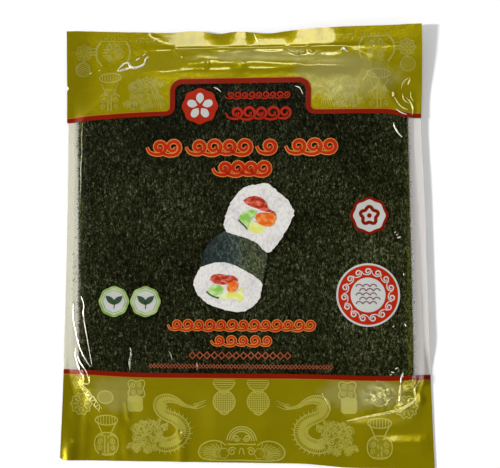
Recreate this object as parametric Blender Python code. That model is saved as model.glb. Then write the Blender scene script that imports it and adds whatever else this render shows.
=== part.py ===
"""A flat sealed pouch of roasted seaweed sheets, lying on its back.

The pouch is one closed solid: a stack of sheets between two films that are sealed to each other
all round. The stack presses the back film flat on the table. Outside the stack both films run
together into thin seals, which lift off the table along the sides and most at the header.
+Y points to the header, +X to the right of the front, and +Z out of the front. Z = 0 is the table.
"""

import bmesh
import bpy
import numpy as np

MM = 0.001

# Outline of the pouch, from its centre
HALF_LENGTH = 140.2 * MM
HALF_WIDTH_FOOT = 118.9 * MM     # both sides, at the bottom seal
LEFT_WAIST = 116.4 * MM          # the left side is narrowest here
LEFT_WAIST_Y = 25 * MM
RIGHT_AT_HEAD = 112.2 * MM
RIGHT_BOW = 1.3 * MM             # how far the right side curves in between its ends
RIGHT_NIP = 1.3 * MM             # and how far it is pulled in beside the header line
RIGHT_NIP_Y = 72 * MM
RIGHT_NIP_REACH = 28 * MM
HEAD_DIP = 2.9 * MM              # the top edge hangs lowest in the middle
FOOT_STEP = 2.2 * MM             # the bottom edge steps down towards the right corner
FOOT_STEP_X = 52 * MM
CORNER_REACH = 3.0 * MM          # length of the softened corners of the bottom edge
CORNER_CUT = 1.2 * MM

# Seals: bands where the two films are welded to each other
TOP_SEAL = 12 * MM
BOTTOM_SEAL = 10 * MM
SIDE_SEAL = 3.5 * MM
SEAL_THICKNESS = 0.6 * MM

# Stack of sheets
STACK_WIDTH = 210 * MM
STACK_LENGTH = 198 * MM          # 190 mm sheets that have slipped a little over each other
STACK_HEIGHT = 6.0 * MM          # ten wavy sheets with air between them
STACK_CENTRE = (-0.7 * MM, 8.3 * MM)
STACK_TURN = np.radians(1.1)
STACK_CORNER = 3 * MM

# Height of the seals above the table, along the pouch
FOOT_LEVEL = 0.3 * MM
LEFT_LIFT = 1.4 * MM
RIGHT_LIFT = 1.8 * MM
SETTLES_FROM = -58 * MM          # below this the sides come down to the table
SETTLES_BY = -84 * MM
HEAD_LIFT_LEFT = 1.0 * MM        # further lift of the two top corners
HEAD_LIFT_RIGHT = 2.2 * MM
HEAD_LIFTS_FROM = 88 * MM
HEAD_LIFTS_BY = 133 * MM

# Printed bands: their inner edges
HEADER_LINE_Y = 83 * MM
FOOTER_LINE_Y = -82.5 * MM

# Soft folds of the top seal: place across the pouch, half width, height, and shift of the edge
TOP_FOLDS = (
    (-33 * MM, 9 * MM, 1.3 * MM, 1.1 * MM),
    (-18 * MM, 7 * MM, -1.1 * MM, -0.9 * MM),
    (-2 * MM, 8 * MM, 0.9 * MM, 0.4 * MM),
    (17 * MM, 10 * MM, -1.4 * MM, -1.3 * MM),
    (50 * MM, 18 * MM, 0.9 * MM, 0.4 * MM),
)

# A ridge of loose film between the stack and the top seal, which runs down to the right
CREST_Y_LEFT = 118 * MM
CREST_Y_RIGHT = 114.5 * MM
CREST_HEIGHT = 1.4 * MM
CREST_HALF_WIDTH = 4.5 * MM
CREST_FROM = -55 * MM
CREST_TO = 80 * MM

# Film stretched like a tent past the lower right corner of the stack
TENT_CENTRE = (82 * MM, -99 * MM)
TENT_REACH = (30 * MM, 13 * MM)
TENT_HEIGHT = 0.7                # share of the stack's height

# Tear notch in the left side
NOTCH_Y = 102.4 * MM
NOTCH_DEPTH = 1.6 * MM

# Spans of the surface's grid, from left to right and from bottom to top, and the cells in each
COLUMN_SPANS = ((0, 3.5, 13, 223, 231, 237), (2, 4, 48, 4, 2))
ROW_SPANS = ((0, 10, 50, 58, 223, 246, 268, 280.4), (4, 16, 3, 16, 9, 12, 6))

# Colours as red, green and blue in linear light, roughness and metallic share
FINISHES = {
    "gold_print": ((0.26, 0.21, 0.012), 0.35, 0.35),
    "window_over_sheets": ((0.016, 0.018, 0.007), 0.45, 0.0),
    "clear_margin": ((0.56, 0.55, 0.50), 0.25, 0.0),
}


def clear_scene():
    for item in list(bpy.data.objects):
        bpy.data.objects.remove(item, do_unlink=True)


def make_collection(name):
    collection = bpy.data.collections.new(name)
    bpy.context.scene.collection.children.link(collection)
    return collection


def make_material(name):
    colour, roughness, metallic = FINISHES[name]
    material = bpy.data.materials.new(name)
    material.use_nodes = True
    shader = material.node_tree.nodes["Principled BSDF"]
    shader.inputs["Base Color"].default_value = (*colour, 1.0)
    shader.inputs["Roughness"].default_value = roughness
    shader.inputs["Metallic"].default_value = metallic
    return material


def smooth(value, start=0.0, end=1.0):
    """A share that eases from 0 at start to 1 at end."""
    share = np.clip((value - start) / (end - start), 0.0, 1.0)
    return share * share * (3.0 - 2.0 * share)


def between(low, high, share):
    return low + (high - low) * share


def hump(value, centre, reach):
    """A bell of height 1 at centre, fading over reach."""
    return np.exp(-(((value - centre) / reach) ** 2))


def left_side(y):
    bulge = (HALF_WIDTH_FOOT - LEFT_WAIST) / (HALF_LENGTH + LEFT_WAIST_Y) ** 2
    return -LEFT_WAIST - bulge * (y - LEFT_WAIST_Y) ** 2


def right_side(y):
    along = y / HALF_LENGTH
    straight = between(HALF_WIDTH_FOOT, RIGHT_AT_HEAD, (1 + along) / 2)
    nip = RIGHT_NIP * hump(y, RIGHT_NIP_Y, RIGHT_NIP_REACH)
    return straight - RIGHT_BOW * (1 - along**2) - nip


def top_edge(x):
    edge = HALF_LENGTH - HEAD_DIP * (1 - (x / RIGHT_AT_HEAD) ** 2)
    edge = edge + 0.9 * MM * smooth(x, 25 * MM, 60 * MM) * (1 - smooth(x, 70 * MM, 112 * MM))
    for place, reach, _, shift in TOP_FOLDS:
        edge = edge + shift * hump(x, place, reach)
    return np.minimum(edge, HALF_LENGTH)


def bottom_edge(x):
    step = FOOT_STEP * (1 - smooth(x, FOOT_STEP_X - 18 * MM, FOOT_STEP_X + 18 * MM))
    corner = HALF_WIDTH_FOOT - np.abs(x)
    softened = CORNER_CUT * (1 - smooth(corner, 0, CORNER_REACH))
    return -HALF_LENGTH + step + softened * (x < 0)


def stack_distance(x, y):
    """Distance outside the stack's rounded and slightly turned rectangle, below 0 inside it."""
    across = x - STACK_CENTRE[0]
    along = y - STACK_CENTRE[1]
    u = across * np.cos(STACK_TURN) + along * np.sin(STACK_TURN)
    v = along * np.cos(STACK_TURN) - across * np.sin(STACK_TURN)
    u = np.abs(u) - (STACK_WIDTH / 2 - STACK_CORNER)
    v = np.abs(v) - (STACK_LENGTH / 2 - STACK_CORNER)
    outside = np.hypot(np.maximum(u, 0), np.maximum(v, 0))
    return outside + np.minimum(np.maximum(u, v), 0) - STACK_CORNER


def seal_distance(x, y):
    """Distance inside the nearest seal's inner edge, 0 in the seals themselves."""
    gaps = np.stack([
        x - left_side(y) - SIDE_SEAL,
        right_side(y) - SIDE_SEAL - x,
        top_edge(x) - TOP_SEAL - y,
        y - bottom_edge(x) - BOTTOM_SEAL,
    ])
    return np.maximum(gaps.min(axis=0), 0)


def seal_height(x, y):
    """Middle of the seals above the table: flat at the foot, lifted at the sides and corners."""
    across = (x + HALF_WIDTH_FOOT) / (2 * HALF_WIDTH_FOOT)
    side = between(LEFT_LIFT, RIGHT_LIFT, across) * smooth(y, SETTLES_BY, SETTLES_FROM)
    corner = between(HEAD_LIFT_LEFT, HEAD_LIFT_RIGHT, across)
    head = corner * smooth(y, HEAD_LIFTS_FROM, HEAD_LIFTS_BY)
    wave = sum(height * hump(x, place, reach) for place, reach, height, _ in TOP_FOLDS)
    return FOOT_LEVEL + side + head + wave * smooth(y, 112 * MM, 130 * MM)


def fall_share(x, y):
    """0 over the stack and 1 at the seals, in proportion to the distance between the two."""
    outside = np.maximum(stack_distance(x, y), 0)
    inside = seal_distance(x, y)
    return outside / np.maximum(outside + inside, 1e-6)


def crest_height(x, y):
    """The ridge of loose film, fading out at its two ends."""
    run = smooth(x, CREST_FROM, CREST_FROM + 30 * MM) * (1 - smooth(x, CREST_TO - 30 * MM, CREST_TO))
    middle = between(CREST_Y_LEFT, CREST_Y_RIGHT, smooth(x, 0, 60 * MM))
    return run * CREST_HEIGHT * hump(y, middle, CREST_HALF_WIDTH)


def front_height(x, y):
    """The front film: flat over the stack, then down to the seals, with ridge and tent."""
    share = fall_share(x, y)
    header = smooth(y, 90 * MM, 110 * MM)
    footer = smooth(-y, 80 * MM, 100 * MM)
    start = 0.3 * header
    end = between(1.0, 0.5, footer)
    high = 1 - smooth((share - start) / (end - start))
    tent_x = (x - TENT_CENTRE[0]) / TENT_REACH[0]
    tent_y = (y - TENT_CENTRE[1]) / TENT_REACH[1]
    tent = TENT_HEIGHT * np.exp(-((tent_x**2 + tent_y**2) ** 2))
    free = seal_distance(x, y) > 0
    high = np.maximum(high, tent * free)
    low = seal_height(x, y) + SEAL_THICKNESS / 2
    return between(low, np.maximum(STACK_HEIGHT, low), high) + crest_height(x, y) * free


def back_height(x, y):
    """The back film: on the table under the stack, rising to the seals outside it."""
    return (seal_height(x, y) - SEAL_THICKNESS / 2) * smooth(fall_share(x, y), 0.15, 1.0)


def grid_lines(spans):
    """Positions of the grid's lines as shares of the whole, from the ends of spans and their cells."""
    ends, cells = spans
    runs = [np.linspace(a, b, n, endpoint=False) for a, b, n in zip(ends, ends[1:], cells)]
    return np.append(np.concatenate(runs), ends[-1]) / ends[-1]


def on_outline(across, along):
    """X and Y of a point given by its shares of the way from left to right and bottom to top."""
    x = between(-HALF_WIDTH_FOOT, HALF_WIDTH_FOOT, across)
    y = between(bottom_edge(x), top_edge(x), along)
    return between(left_side(y), right_side(y), across), y


def make_pouch(collection):
    """One grid of triangles, extruded to a front and a back that are split alike."""
    columns = grid_lines(COLUMN_SPANS)
    rows = grid_lines(ROW_SPANS)
    bm = bmesh.new()
    bmesh.ops.create_grid(bm, x_segments=len(columns) - 1, y_segments=len(rows) - 1, size=1.0)
    bmesh.ops.triangulate(bm, faces=bm.faces[:], quad_method="ALTERNATE")
    front = bmesh.ops.extrude_face_region(bm, geom=bm.faces[:])["geom"]
    front_points = {item for item in front if isinstance(item, bmesh.types.BMVert)}
    for point in bm.verts:
        column = round((point.co.x + 1) / 2 * (len(columns) - 1))
        row = round((point.co.y + 1) / 2 * (len(rows) - 1))
        x, y = on_outline(columns[column], rows[row])
        surface = front_height if point in front_points else back_height
        point.co = (x, y, surface(x, y))
    bmesh.ops.recalc_face_normals(bm, faces=bm.faces[:])
    for face in bm.faces:
        centre = face.calc_center_median()
        in_window = FOOTER_LINE_Y < centre.y < HEADER_LINE_Y
        over_stack = stack_distance(centre.x, centre.y) < 0
        face.material_index = (1 if over_stack else 2) if in_window else 0
    mesh = bpy.data.meshes.new("nori_pouch")
    bm.to_mesh(mesh)
    bm.free()
    for name in FINISHES:
        mesh.materials.append(make_material(name))
    mesh.shade_smooth()
    pouch = bpy.data.objects.new("nori_pouch", mesh)
    collection.objects.link(pouch)
    return pouch


def cut_notch(pouch, cutters):
    """A small V in the left seal: a square bar on its edge, with one corner in the film."""
    side = 3 * MM
    bpy.ops.mesh.primitive_cube_add(size=1.0, rotation=(0, 0, np.pi / 4))
    bar = bpy.context.object
    bar.name = "notch_cutter"
    bar.scale = (side, side, 40 * MM)
    bar.location = (left_side(NOTCH_Y) + NOTCH_DEPTH - side / np.sqrt(2), NOTCH_Y, 0)
    for owner in bar.users_collection:
        owner.objects.unlink(bar)
    cutters.objects.link(bar)
    bar.hide_render = True
    bar.display_type = "WIRE"
    cut = pouch.modifiers.new("tear notch", "BOOLEAN")
    cut.operation = "DIFFERENCE"
    cut.solver = "EXACT"
    cut.object = bar


def main():
    clear_scene()
    parts = make_collection("nori_sheet_pouch")
    cutters = make_collection("cutters")
    pouch = make_pouch(parts)
    cut_notch(pouch, cutters)


main()
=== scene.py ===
# %% [markdown]
# This lesson dresses a flat, sealed pouch of roasted seaweed sheets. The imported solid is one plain
# body with the pouch's true outline and height. The real thing is two films welded all round, with
# printed bands on them and a stack of brittle sheets between them. So the solid gives the places,
# and every film, print and sheet is made here as a surface of its own.

import bpy
import numpy as np
from mathutils import Matrix, Vector


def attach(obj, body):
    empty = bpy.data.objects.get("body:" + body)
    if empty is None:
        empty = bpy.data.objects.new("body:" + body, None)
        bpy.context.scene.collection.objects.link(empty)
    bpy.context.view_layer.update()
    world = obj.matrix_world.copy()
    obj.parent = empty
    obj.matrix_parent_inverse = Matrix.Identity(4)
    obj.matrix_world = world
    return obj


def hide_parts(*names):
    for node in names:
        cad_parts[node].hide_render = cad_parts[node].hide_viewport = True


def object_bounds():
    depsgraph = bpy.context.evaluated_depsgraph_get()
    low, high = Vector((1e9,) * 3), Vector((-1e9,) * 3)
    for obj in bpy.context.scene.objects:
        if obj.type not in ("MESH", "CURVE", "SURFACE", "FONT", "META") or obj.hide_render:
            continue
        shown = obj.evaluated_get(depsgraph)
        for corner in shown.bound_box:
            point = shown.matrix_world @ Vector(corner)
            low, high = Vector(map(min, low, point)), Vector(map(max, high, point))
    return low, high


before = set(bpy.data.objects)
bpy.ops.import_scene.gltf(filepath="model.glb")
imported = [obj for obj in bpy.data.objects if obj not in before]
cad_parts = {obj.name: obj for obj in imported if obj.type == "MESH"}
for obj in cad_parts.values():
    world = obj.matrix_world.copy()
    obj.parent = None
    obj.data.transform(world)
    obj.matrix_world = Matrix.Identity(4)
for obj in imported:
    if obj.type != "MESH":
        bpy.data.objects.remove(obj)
cad_low, cad_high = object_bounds()
MM = 0.001
print("solid box in mm:", [round(v / MM, 1) for v in (*cad_low, *cad_high)])

# %% [markdown]
# Lengths are in millimetres from here on, because film folds and print are that small. They become
# metres in one place, where a mesh is made. A few small functions do most of the shaping: an eased
# step, a mix of two values, a bell, a turn, and soft random hills.

# %% Small functions for shaping
def smooth(value, start=0.0, end=1.0):
    """A share that eases from 0 at start to 1 at end: s * s * (3 - 2 s)."""
    share = np.clip((value - start) / (end - start), 0.0, 1.0)
    return share * share * (3.0 - 2.0 * share)


def between(low, high, share):
    """The value at a share of the way from low to high."""
    return low + (high - low) * share


def hump(value, centre, reach):
    """A bell of height 1 at centre: e to the power of minus (distance / reach) squared."""
    return np.exp(-(((value - centre) / reach) ** 2))


def turned(x, y, angle):
    """A place turned anticlockwise about the origin: (x cos - y sin, y cos + x sin)."""
    return x * np.cos(angle) - y * np.sin(angle), y * np.cos(angle) + x * np.sin(angle)


def cloud(x, y, size, seed):
    """Smooth random hills from -1 to 1, about one for each size by size square.

    Each corner of a square lattice has a random height, and a point takes the eased mix of the
    four corners round it.
    """
    corners = np.random.default_rng(seed).uniform(-1, 1, (64, 64))
    u = x / size + 1000.5
    v = y / size + 1000.5
    column = np.floor(u).astype(int)
    row = np.floor(v).astype(int)
    across = smooth(u - column)
    along = smooth(v - row)
    low = between(corners[row % 64, column % 64], corners[row % 64, (column + 1) % 64], across)
    high = between(
        corners[(row + 1) % 64, column % 64], corners[(row + 1) % 64, (column + 1) % 64], across
    )
    return between(low, high, along)


def clouds(x, y, size, seed, octaves=3):
    """Several layers of hills, each half as large and half as high as the one before."""
    return sum(cloud(x, y, size / 2**i, seed + i) / 2**i for i in range(octaves))


print("hills at three places:", np.round(clouds(np.array([0.0, 9.0, 40.0]), np.zeros(3), 8, 1), 2))

# %% [markdown]
# The outline repeats the solid's. A pouch from a roll of film is never quite straight: its sides
# are drawn in beside the stack, and the loose top edge hangs and waves. Each side is therefore a
# function of the height along the pouch, and each end a function of the place across it.

# %% The outline of the pouch
HALF_LENGTH = cad_high.y / MM
HALF_WIDTH = 118.9
LEFT_WAIST = 116.4
LEFT_WAIST_Y = 25.0
RIGHT_AT_HEAD = 112.2
RIGHT_BOW = 1.3
RIGHT_NIP = 1.3
RIGHT_NIP_Y = 72.0
RIGHT_NIP_REACH = 28.0
HEAD_DIP = 2.9
HEAD_SWELL = 0.9
FOOT_STEP = 2.2
FOOT_STEP_X = 52.0
FOOT_STEP_REACH = 18.0
CORNER_REACH = 3.0
CORNER_CUT = 1.2
NOTCH_Y = 102.4
NOTCH_DEPTH = 1.6
# Each fold of the top seal: its place, its reach, the seal's lift there and the edge's shift.
TOP_FOLDS = (
    (-33.0, 9.0, 0.2, 1.1),
    (-18.0, 7.0, -0.9, -0.9),
    (-2.0, 8.0, 0.3, 0.4),
    (17.0, 10.0, -1.2, -1.3),
    (50.0, 18.0, 0.3, 0.4),
)


def left_side(y):
    """A shallow parabola, with the small V of the tear notch cut into it."""
    bulge = (HALF_WIDTH - LEFT_WAIST) / (HALF_LENGTH + LEFT_WAIST_Y) ** 2
    notch = np.maximum(NOTCH_DEPTH - np.abs(y - NOTCH_Y), 0)
    return -LEFT_WAIST - bulge * (y - LEFT_WAIST_Y) ** 2 + notch


def right_side(y):
    """A straight taper, bowed in between its ends and pulled in beside the header line."""
    along = y / HALF_LENGTH
    straight = between(HALF_WIDTH, RIGHT_AT_HEAD, (1 + along) / 2)
    nip = RIGHT_NIP * hump(y, RIGHT_NIP_Y, RIGHT_NIP_REACH)
    return straight - RIGHT_BOW * (1 - along**2) - nip


def top_edge(x):
    """A shallow dip with a swell at its right and the folds' small waves on it."""
    edge = HALF_LENGTH - HEAD_DIP * (1 - (x / RIGHT_AT_HEAD) ** 2)
    edge = edge + HEAD_SWELL * smooth(x, 25, 60) * (1 - smooth(x, 70, 112))
    for place, reach, _, shift in TOP_FOLDS:
        edge = edge + shift * hump(x, place, reach)
    return np.minimum(edge, HALF_LENGTH)


def bottom_edge(x):
    """Straight, with one soft step down to the right and a softened left corner."""
    step = FOOT_STEP * (1 - smooth(x, FOOT_STEP_X - FOOT_STEP_REACH, FOOT_STEP_X + FOOT_STEP_REACH))
    softened = CORNER_CUT * (1 - smooth(HALF_WIDTH - np.abs(x), 0, CORNER_REACH))
    return -HALF_LENGTH + step + softened * (x < 0)


print("width at the waist:", round(right_side(LEFT_WAIST_Y) - left_side(LEFT_WAIST_Y), 1), "mm")

# %% [markdown]
# Print and film run from side to side, so a plain square grid won't fit them. A point is given
# instead by two shares: of the way from the left side to the right one, and of the way between two
# lines across the pouch.

# %% Places inside the outline
def at_shares(across, y):
    """X of a share of the way from the left side to the right side, at height y."""
    return between(left_side(y), right_side(y), across)


def pouch_grid(across, along, near, far):
    """X and y of a grid at shares of the width, and of the way from a near to a far line."""
    across, along = np.meshgrid(across, along)
    x = between(-HALF_WIDTH, HALF_WIDTH, across)
    y = between(near(x), far(x), along)
    return at_shares(across, y), y


print("the middle of the pouch lies at", round(float(at_shares(0.5, 0.0)), 2), "mm")

# %% [markdown]
# The solid's height comes from two simpler surfaces: how far a point is from the stack of sheets,
# and how far it is from the welded seals. The share of the two says how far the film has fallen.

# %% Distances from the stack and from the seals
STACK_WIDTH = 210.0
STACK_LENGTH = 198.0
STACK_HEIGHT = 6.0
STACK_CENTRE = (-0.7, 8.3)
STACK_TURN = np.radians(1.1)
STACK_CORNER = 3.0
TOP_SEAL = 12.0
BOTTOM_SEAL = 10.0
SIDE_SEAL = 3.5
SIDE_GIVE = 1.0
CORNER_GIVE = 14.0
FILM_CORNER = 14.0


def stack_distance(x, y, corner=STACK_CORNER):
    """Distance outside the stack's rounded and slightly turned rectangle, below 0 inside it."""
    u, v = turned(x - STACK_CENTRE[0], y - STACK_CENTRE[1], -STACK_TURN)
    u = np.abs(u) - (STACK_WIDTH / 2 - corner)
    v = np.abs(v) - (STACK_LENGTH / 2 - corner)
    outside = np.hypot(np.maximum(u, 0), np.maximum(v, 0))
    return outside + np.minimum(np.maximum(u, v), 0) - corner


def seal_distance(x, y):
    """Distance inside the seals' inner edges, 0 in the seals themselves.

    It is the smallest of four gaps, or a little less where two are alike: (sum of gap^-3)^(-1/3).
    """
    gaps = np.stack([
        x - left_side(y) - SIDE_SEAL,
        right_side(y) - SIDE_SEAL - x,
        top_edge(x) - TOP_SEAL - y,
        y - bottom_edge(x) - BOTTOM_SEAL,
    ])
    return (np.maximum(gaps, 0.001) ** -3).sum(axis=0) ** (-1 / 3)


def fall_share(x, y):
    """0 over the stack and 1 at the seals, in proportion to the distance between the two.

    Beside the stack the fall starts just inside its edge, and at the top corners well inside.
    """
    give = SIDE_GIVE + CORNER_GIVE * smooth(y, 80, 98)
    inset = give * smooth(np.abs(x), 80, 98)
    corner = between(STACK_CORNER, FILM_CORNER, smooth(y, 0, 60))
    outside = np.maximum(stack_distance(x, y, corner) + inset, 0)
    return outside / np.maximum(outside + seal_distance(x, y), 0.001)


print("share fallen beside the stack:", round(float(fall_share(110.0, 0.0)), 2))

# %% [markdown]
# The seals are flat at the foot and lift a little off the table at the sides and the head. The
# middle of the top seal is rolled: it slopes down towards its edge, so it mirrors another part of
# the room than the level film beside it does.

# %% Height of the seals
SEAL_REST = 0.3
SIDE_LIFT = (1.5, 1.8)
HEAD_LIFT = (1.0, 2.2)
ROLL_LEFT = -63
ROLL_SLANT = 1.6
ROLL_RIGHT = 50
ROLL_AXIS_Y = 129.0
ROLL_LIFT = 0.2
ROLL_SLOPE = 0.085
END_SLOPE = 0.03
FOLD_SHARE = 0.6
# Each break in the roll: its place, its reach and how much steeper the roll is there.
ROLL_BREAKS = ((-16.0, 5.5, 1.0), (2.6, 2.2, 0.8), (28.0, 3.0, 0.35), (44.0, 4.0, -0.3))


def seal_roll(x, y):
    """A slope down and away between the roll's slanting left end and its right end.

    Beyond its ends the seal has a faint slope up instead.
    """
    start = ROLL_SLANT * np.clip(137 - y, 0, 10) + ROLL_LEFT
    middle = smooth(x, start - 2, start + 5) * (1 - smooth(x, ROLL_RIGHT, ROLL_RIGHT + 13))
    steep = 1 + sum(more * hump(x, place, reach) for place, reach, more in ROLL_BREAKS)
    drop = ROLL_SLOPE * steep * (np.clip(y, 123, 140) - ROLL_AXIS_Y)
    rolled = smooth(y, 118, 127) * (ROLL_LIFT - drop) * middle
    return rolled + END_SLOPE * np.maximum(y - 127, 0) * (1 - middle)


def seal_height(x, y):
    """Middle of the seals above the table: flat at the foot, lifted at the sides and corners."""
    across = (x + HALF_WIDTH) / (2 * HALF_WIDTH)
    side = between(*SIDE_LIFT, across) * smooth(y, -84, -58)
    head = between(*HEAD_LIFT, across) * smooth(y, 88, 133)
    wave = sum(height * hump(x, place, reach) for place, reach, height, _ in TOP_FOLDS)
    return SEAL_REST + side + head + seal_roll(x, y) + FOLD_SHARE * wave * smooth(y, 132.5, 141)


print("seal at the top right corner:", round(float(seal_height(110.0, 138.0)), 2), "mm")

# %% [markdown]
# The films follow the solid: flat over the stack, then down to the seals. Two forms stand out of
# that fall. Loose film gathers in a crest below the top seal, and it is stretched like a tent past
# the lower right corner of the stack. The seals' film is thinner here than in the solid.

# %% Heights of the two films
HALF_SEAL = 0.12
BACK_REST = 0.1
EDGE_DROP = 1.6
CREST_RISE = 1.5
CREST_LINE = (118, 114.5)
TENT_RISE = 0.7
TENT_CENTRE = (82, -99)
TENT_REACH = (30, 13)


def loose_crest(x, y):
    """A bell across a line that drops to the right, and that starts and ends softly."""
    shown = smooth(x, -55, -25) * (1 - smooth(x, 50, 80))
    rise = CREST_RISE - 0.3 * smooth(x, 5, 30)
    reach = 4.0 + 2.0 * hump(x, -4, 4)
    return shown * rise * hump(y, between(*CREST_LINE, smooth(x, 0, 60)), reach)


def tent(x, y):
    """A broad flat bell, e to the power of minus distance to the fourth, ending at the seals."""
    across = (x - TENT_CENTRE[0]) / TENT_REACH[0]
    along = (y - TENT_CENTRE[1]) / TENT_REACH[1]
    return TENT_RISE * np.exp(-((across**2 + along**2) ** 2)) * smooth(seal_distance(x, y), 0, 10)


def film_plateau(x, y):
    """The front film without its wrinkles: flat over the stack, then falling to the seals.

    Towards the header's ends the stack is pressed a little lower, so the film falls gently there.
    Beside the footer it hugs the stack: half of the fall is steep and close to its edge.
    """
    share = fall_share(x, y)
    start = 0.3 * smooth(y, 90, 100) * (1 - smooth(np.abs(x), 60, 90))
    end = 1 - 0.3 * smooth(-y, 80, 100) - 0.45 * smooth(np.abs(x), 58, 90) * smooth(y, 94, 110)
    fall = np.clip((share - start) / (end - start), 0, 1)
    hugging = 1 - (1 - fall) * (1 - 0.5 * smooth(fall, 0.02, 0.3))
    fall = between(fall, hugging, smooth(np.abs(x), 98, 104) * smooth(-y, 80, 88))
    high = 1 - between(fall, smooth(fall), 0.15 * (1 - smooth(y, 80, 92)))
    high = np.maximum(high, tent(x, y))
    low = seal_height(x, y) + HALF_SEAL
    pressed = STACK_HEIGHT - EDGE_DROP * smooth(np.abs(x), 55, 104) * smooth(y, -60, 88)
    free = smooth(seal_distance(x, y), 0, 2)
    return between(low, np.maximum(pressed, low), high) + loose_crest(x, y) * free


def back_height(x, y):
    """The back film: on the table under the stack, rising to the seals outside it."""
    rise = seal_height(x, y) - HALF_SEAL - BACK_REST
    return BACK_REST + rise * smooth(fall_share(x, y), 0.15, 1.0)


print("film over the stack:", round(float(film_plateau(0.0, 0.0)), 2), "mm above the table")

# %% [markdown]
# Thin film wrinkles where it is loose: between the stack and the top seal it puckers, and the
# footer waves from side to side. Each kind is a sum of bells or of ridged hills, so a wrinkle has
# the same form in the film and in the print on it.

# %% Puckers, waves and folds
SEAL_LINE_Y = 127.0
GROOVE_DEPTH = 0.25
FOOTER_ROLL = 1.5
FOOTER_ROLL_Y = -125.0
FOOTER_CURL = 1.9
FOOTER_CURL_X = -112.3
FOOTER_HILLS = 0.4
# Each fold: its two ends, its reach to each side and its height.
FOLDS = (
    ((-46.4, 126.3), (-42.4, 122.2), 1.3, 0.5),
    ((-29.9, 120.7), (-18.9, 119.2), 1.3, 0.35),
    ((-24.7, 119.5), (-24.7, 114.0), 1.3, 0.3),
    ((26.3, 125.9), (33.0, 122.6), 1.4, 0.5),
    ((33.0, 122.6), (37.2, 123.6), 1.3, 0.4),
    ((39.7, 126.2), (42.6, 123.4), 1.1, 0.35),
    ((-75.3, -101.9), (-74.6, -110.3), 1.7, 0.75),
    ((-76.4, -119.0), (-75.6, -133.0), 3.0, 0.7),
    ((-40.0, -122.0), (-39.6, -138.0), 3.0, 1.0),
    ((109.7, -85.4), (107.0, -97.0), 2.0, 0.5),
    ((107.0, -97.0), (98.3, -103.1), 2.0, 0.6),
    ((98.3, -103.1), (64.4, -111.2), 2.0, 0.6),
)
CRUMPLED_CENTRE = (85.0, -95.0)
CRUMPLED_REACH = (12.0, 8.5)
CRUMPLED_RISE = 1.5
# Each wave across the footer: its place, its reach and its height.
FOOTER_WAVES = (
    (-112.0, 3.0, 0.2), (-103.5, 2.6, 0.5), (-82.5, 3.2, 0.5), (-66.0, 9.0, 0.5),
    (-43.0, 4.0, 0.4), (-20.0, 10.0, 0.6), (12.0, 8.0, 0.5), (46.0, 12.0, 0.6), (77.0, 9.0, 0.6),
)


def ridged(x, y, size, seed):
    """Sharp crests on soft ground: 1 minus the size of a hill's height, squared."""
    return (1 - np.abs(cloud(x, y, size, seed))) ** 2


def fold(x, y, start, end, width, height):
    """A ridge along a straight run: a bell of the distance to the run."""
    ahead = np.subtract(end, start)
    share = np.clip(((x - start[0]) * ahead[0] + (y - start[1]) * ahead[1]) / (ahead @ ahead), 0, 1)
    away = np.hypot(x - start[0] - share * ahead[0], y - start[1] - share * ahead[1])
    return height * hump(away, 0, width)


def header_puckers(x, y, free):
    """Ridged hills between the stack and the top seal, and a groove along the seal's edge."""
    share = 0.15 + 0.85 * smooth(x, -60, -30) * (1 - smooth(x, 55, 78))
    hills = 0.3 * ridged(x + 0.6 * y, y * 1.8, 17, 3) + 0.1 * ridged(x, y, 7, 5) - 0.2
    groove = hump(y, SEAL_LINE_Y, 0.9) * smooth(x, -60, -40) * (1 - smooth(x, 85, 100))
    return smooth(y, 108, 115) * free * share * hills - GROOVE_DEPTH * groove


def footer_waves(x, y, free):
    """Swaying waves and soft hills, a roll towards the right end and a curl along the left side."""
    below = smooth(-y, 88, 112)
    sway = 0.05 * (y + 140)
    waves = sum(rise * hump(x, place + sway, reach) for place, reach, rise in FOOTER_WAVES)
    hills = FOOTER_HILLS * cloud(x * 1.4, y, 16, 31) * free
    roll = hump(y, FOOTER_ROLL_Y, 5.0) * smooth(x, 80, 95) * (1 - smooth(x, 110, 118))
    curl = hump(x, FOOTER_CURL_X, 4.4) * smooth(-y, 114, 138)
    return below * (waves + hills) + FOOTER_ROLL * roll + FOOTER_CURL * curl


def crumpled(x, y):
    """Sharp small crests in a round patch, where the film is crushed beside the stack's corner."""
    across = hump(x, CRUMPLED_CENTRE[0], CRUMPLED_REACH[0])
    along = hump(y, CRUMPLED_CENTRE[1], CRUMPLED_REACH[1])
    return CRUMPLED_RISE * across * along * (ridged(x + 0.4 * y, y, 3.6, 41) - 0.5)


print("height of the crumpled patch:", round(float(crumpled(86.0, -95.0)), 2), "mm")

# %% [markdown]
# Beside the stack the film falls into long soft folds, and over it only faint hills remain. With
# these the front film is complete: one function gives its height anywhere, and all that is printed
# on it asks that function too.

# %% The finished height of the front film
def side_folds(x, y, loose, free):
    """Two long folds beside the right side, and soft hills close to both sides."""
    side = loose * free * smooth(y, -84, -70) * (1 - smooth(y, 84, 96))
    right_gap = right_side(y) - x
    right_fold = hump(right_gap, 5.2, 1.1) + 0.5 * hump(right_gap, 9.5, 1.3)
    hills = 0.15 * smooth(np.abs(x), 104, 108) * cloud(x * 1.5, y, 18, 11)
    return side * (0.3 * right_fold * smooth(-y, -30, 60) + hills)


def wrinkles(x, y):
    """Height that the loose film stands above or below its plain course: the sum of all kinds."""
    loose = smooth(stack_distance(x, y), -6, 6)
    free = smooth(seal_distance(x, y), 0, 3)
    height = header_puckers(x, y, free) + footer_waves(x, y, free) + crumpled(x, y)
    height = height + sum(fold(x, y, *fold_form) for fold_form in FOLDS)
    height = height + side_folds(x, y, loose, free)
    return height + 0.10 * cloud(x, y * 0.6, 26, 21) * (1 - loose)


def film_height(x, y):
    """Top of the front film above the table."""
    return film_plateau(x, y) + wrinkles(x, y)


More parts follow.
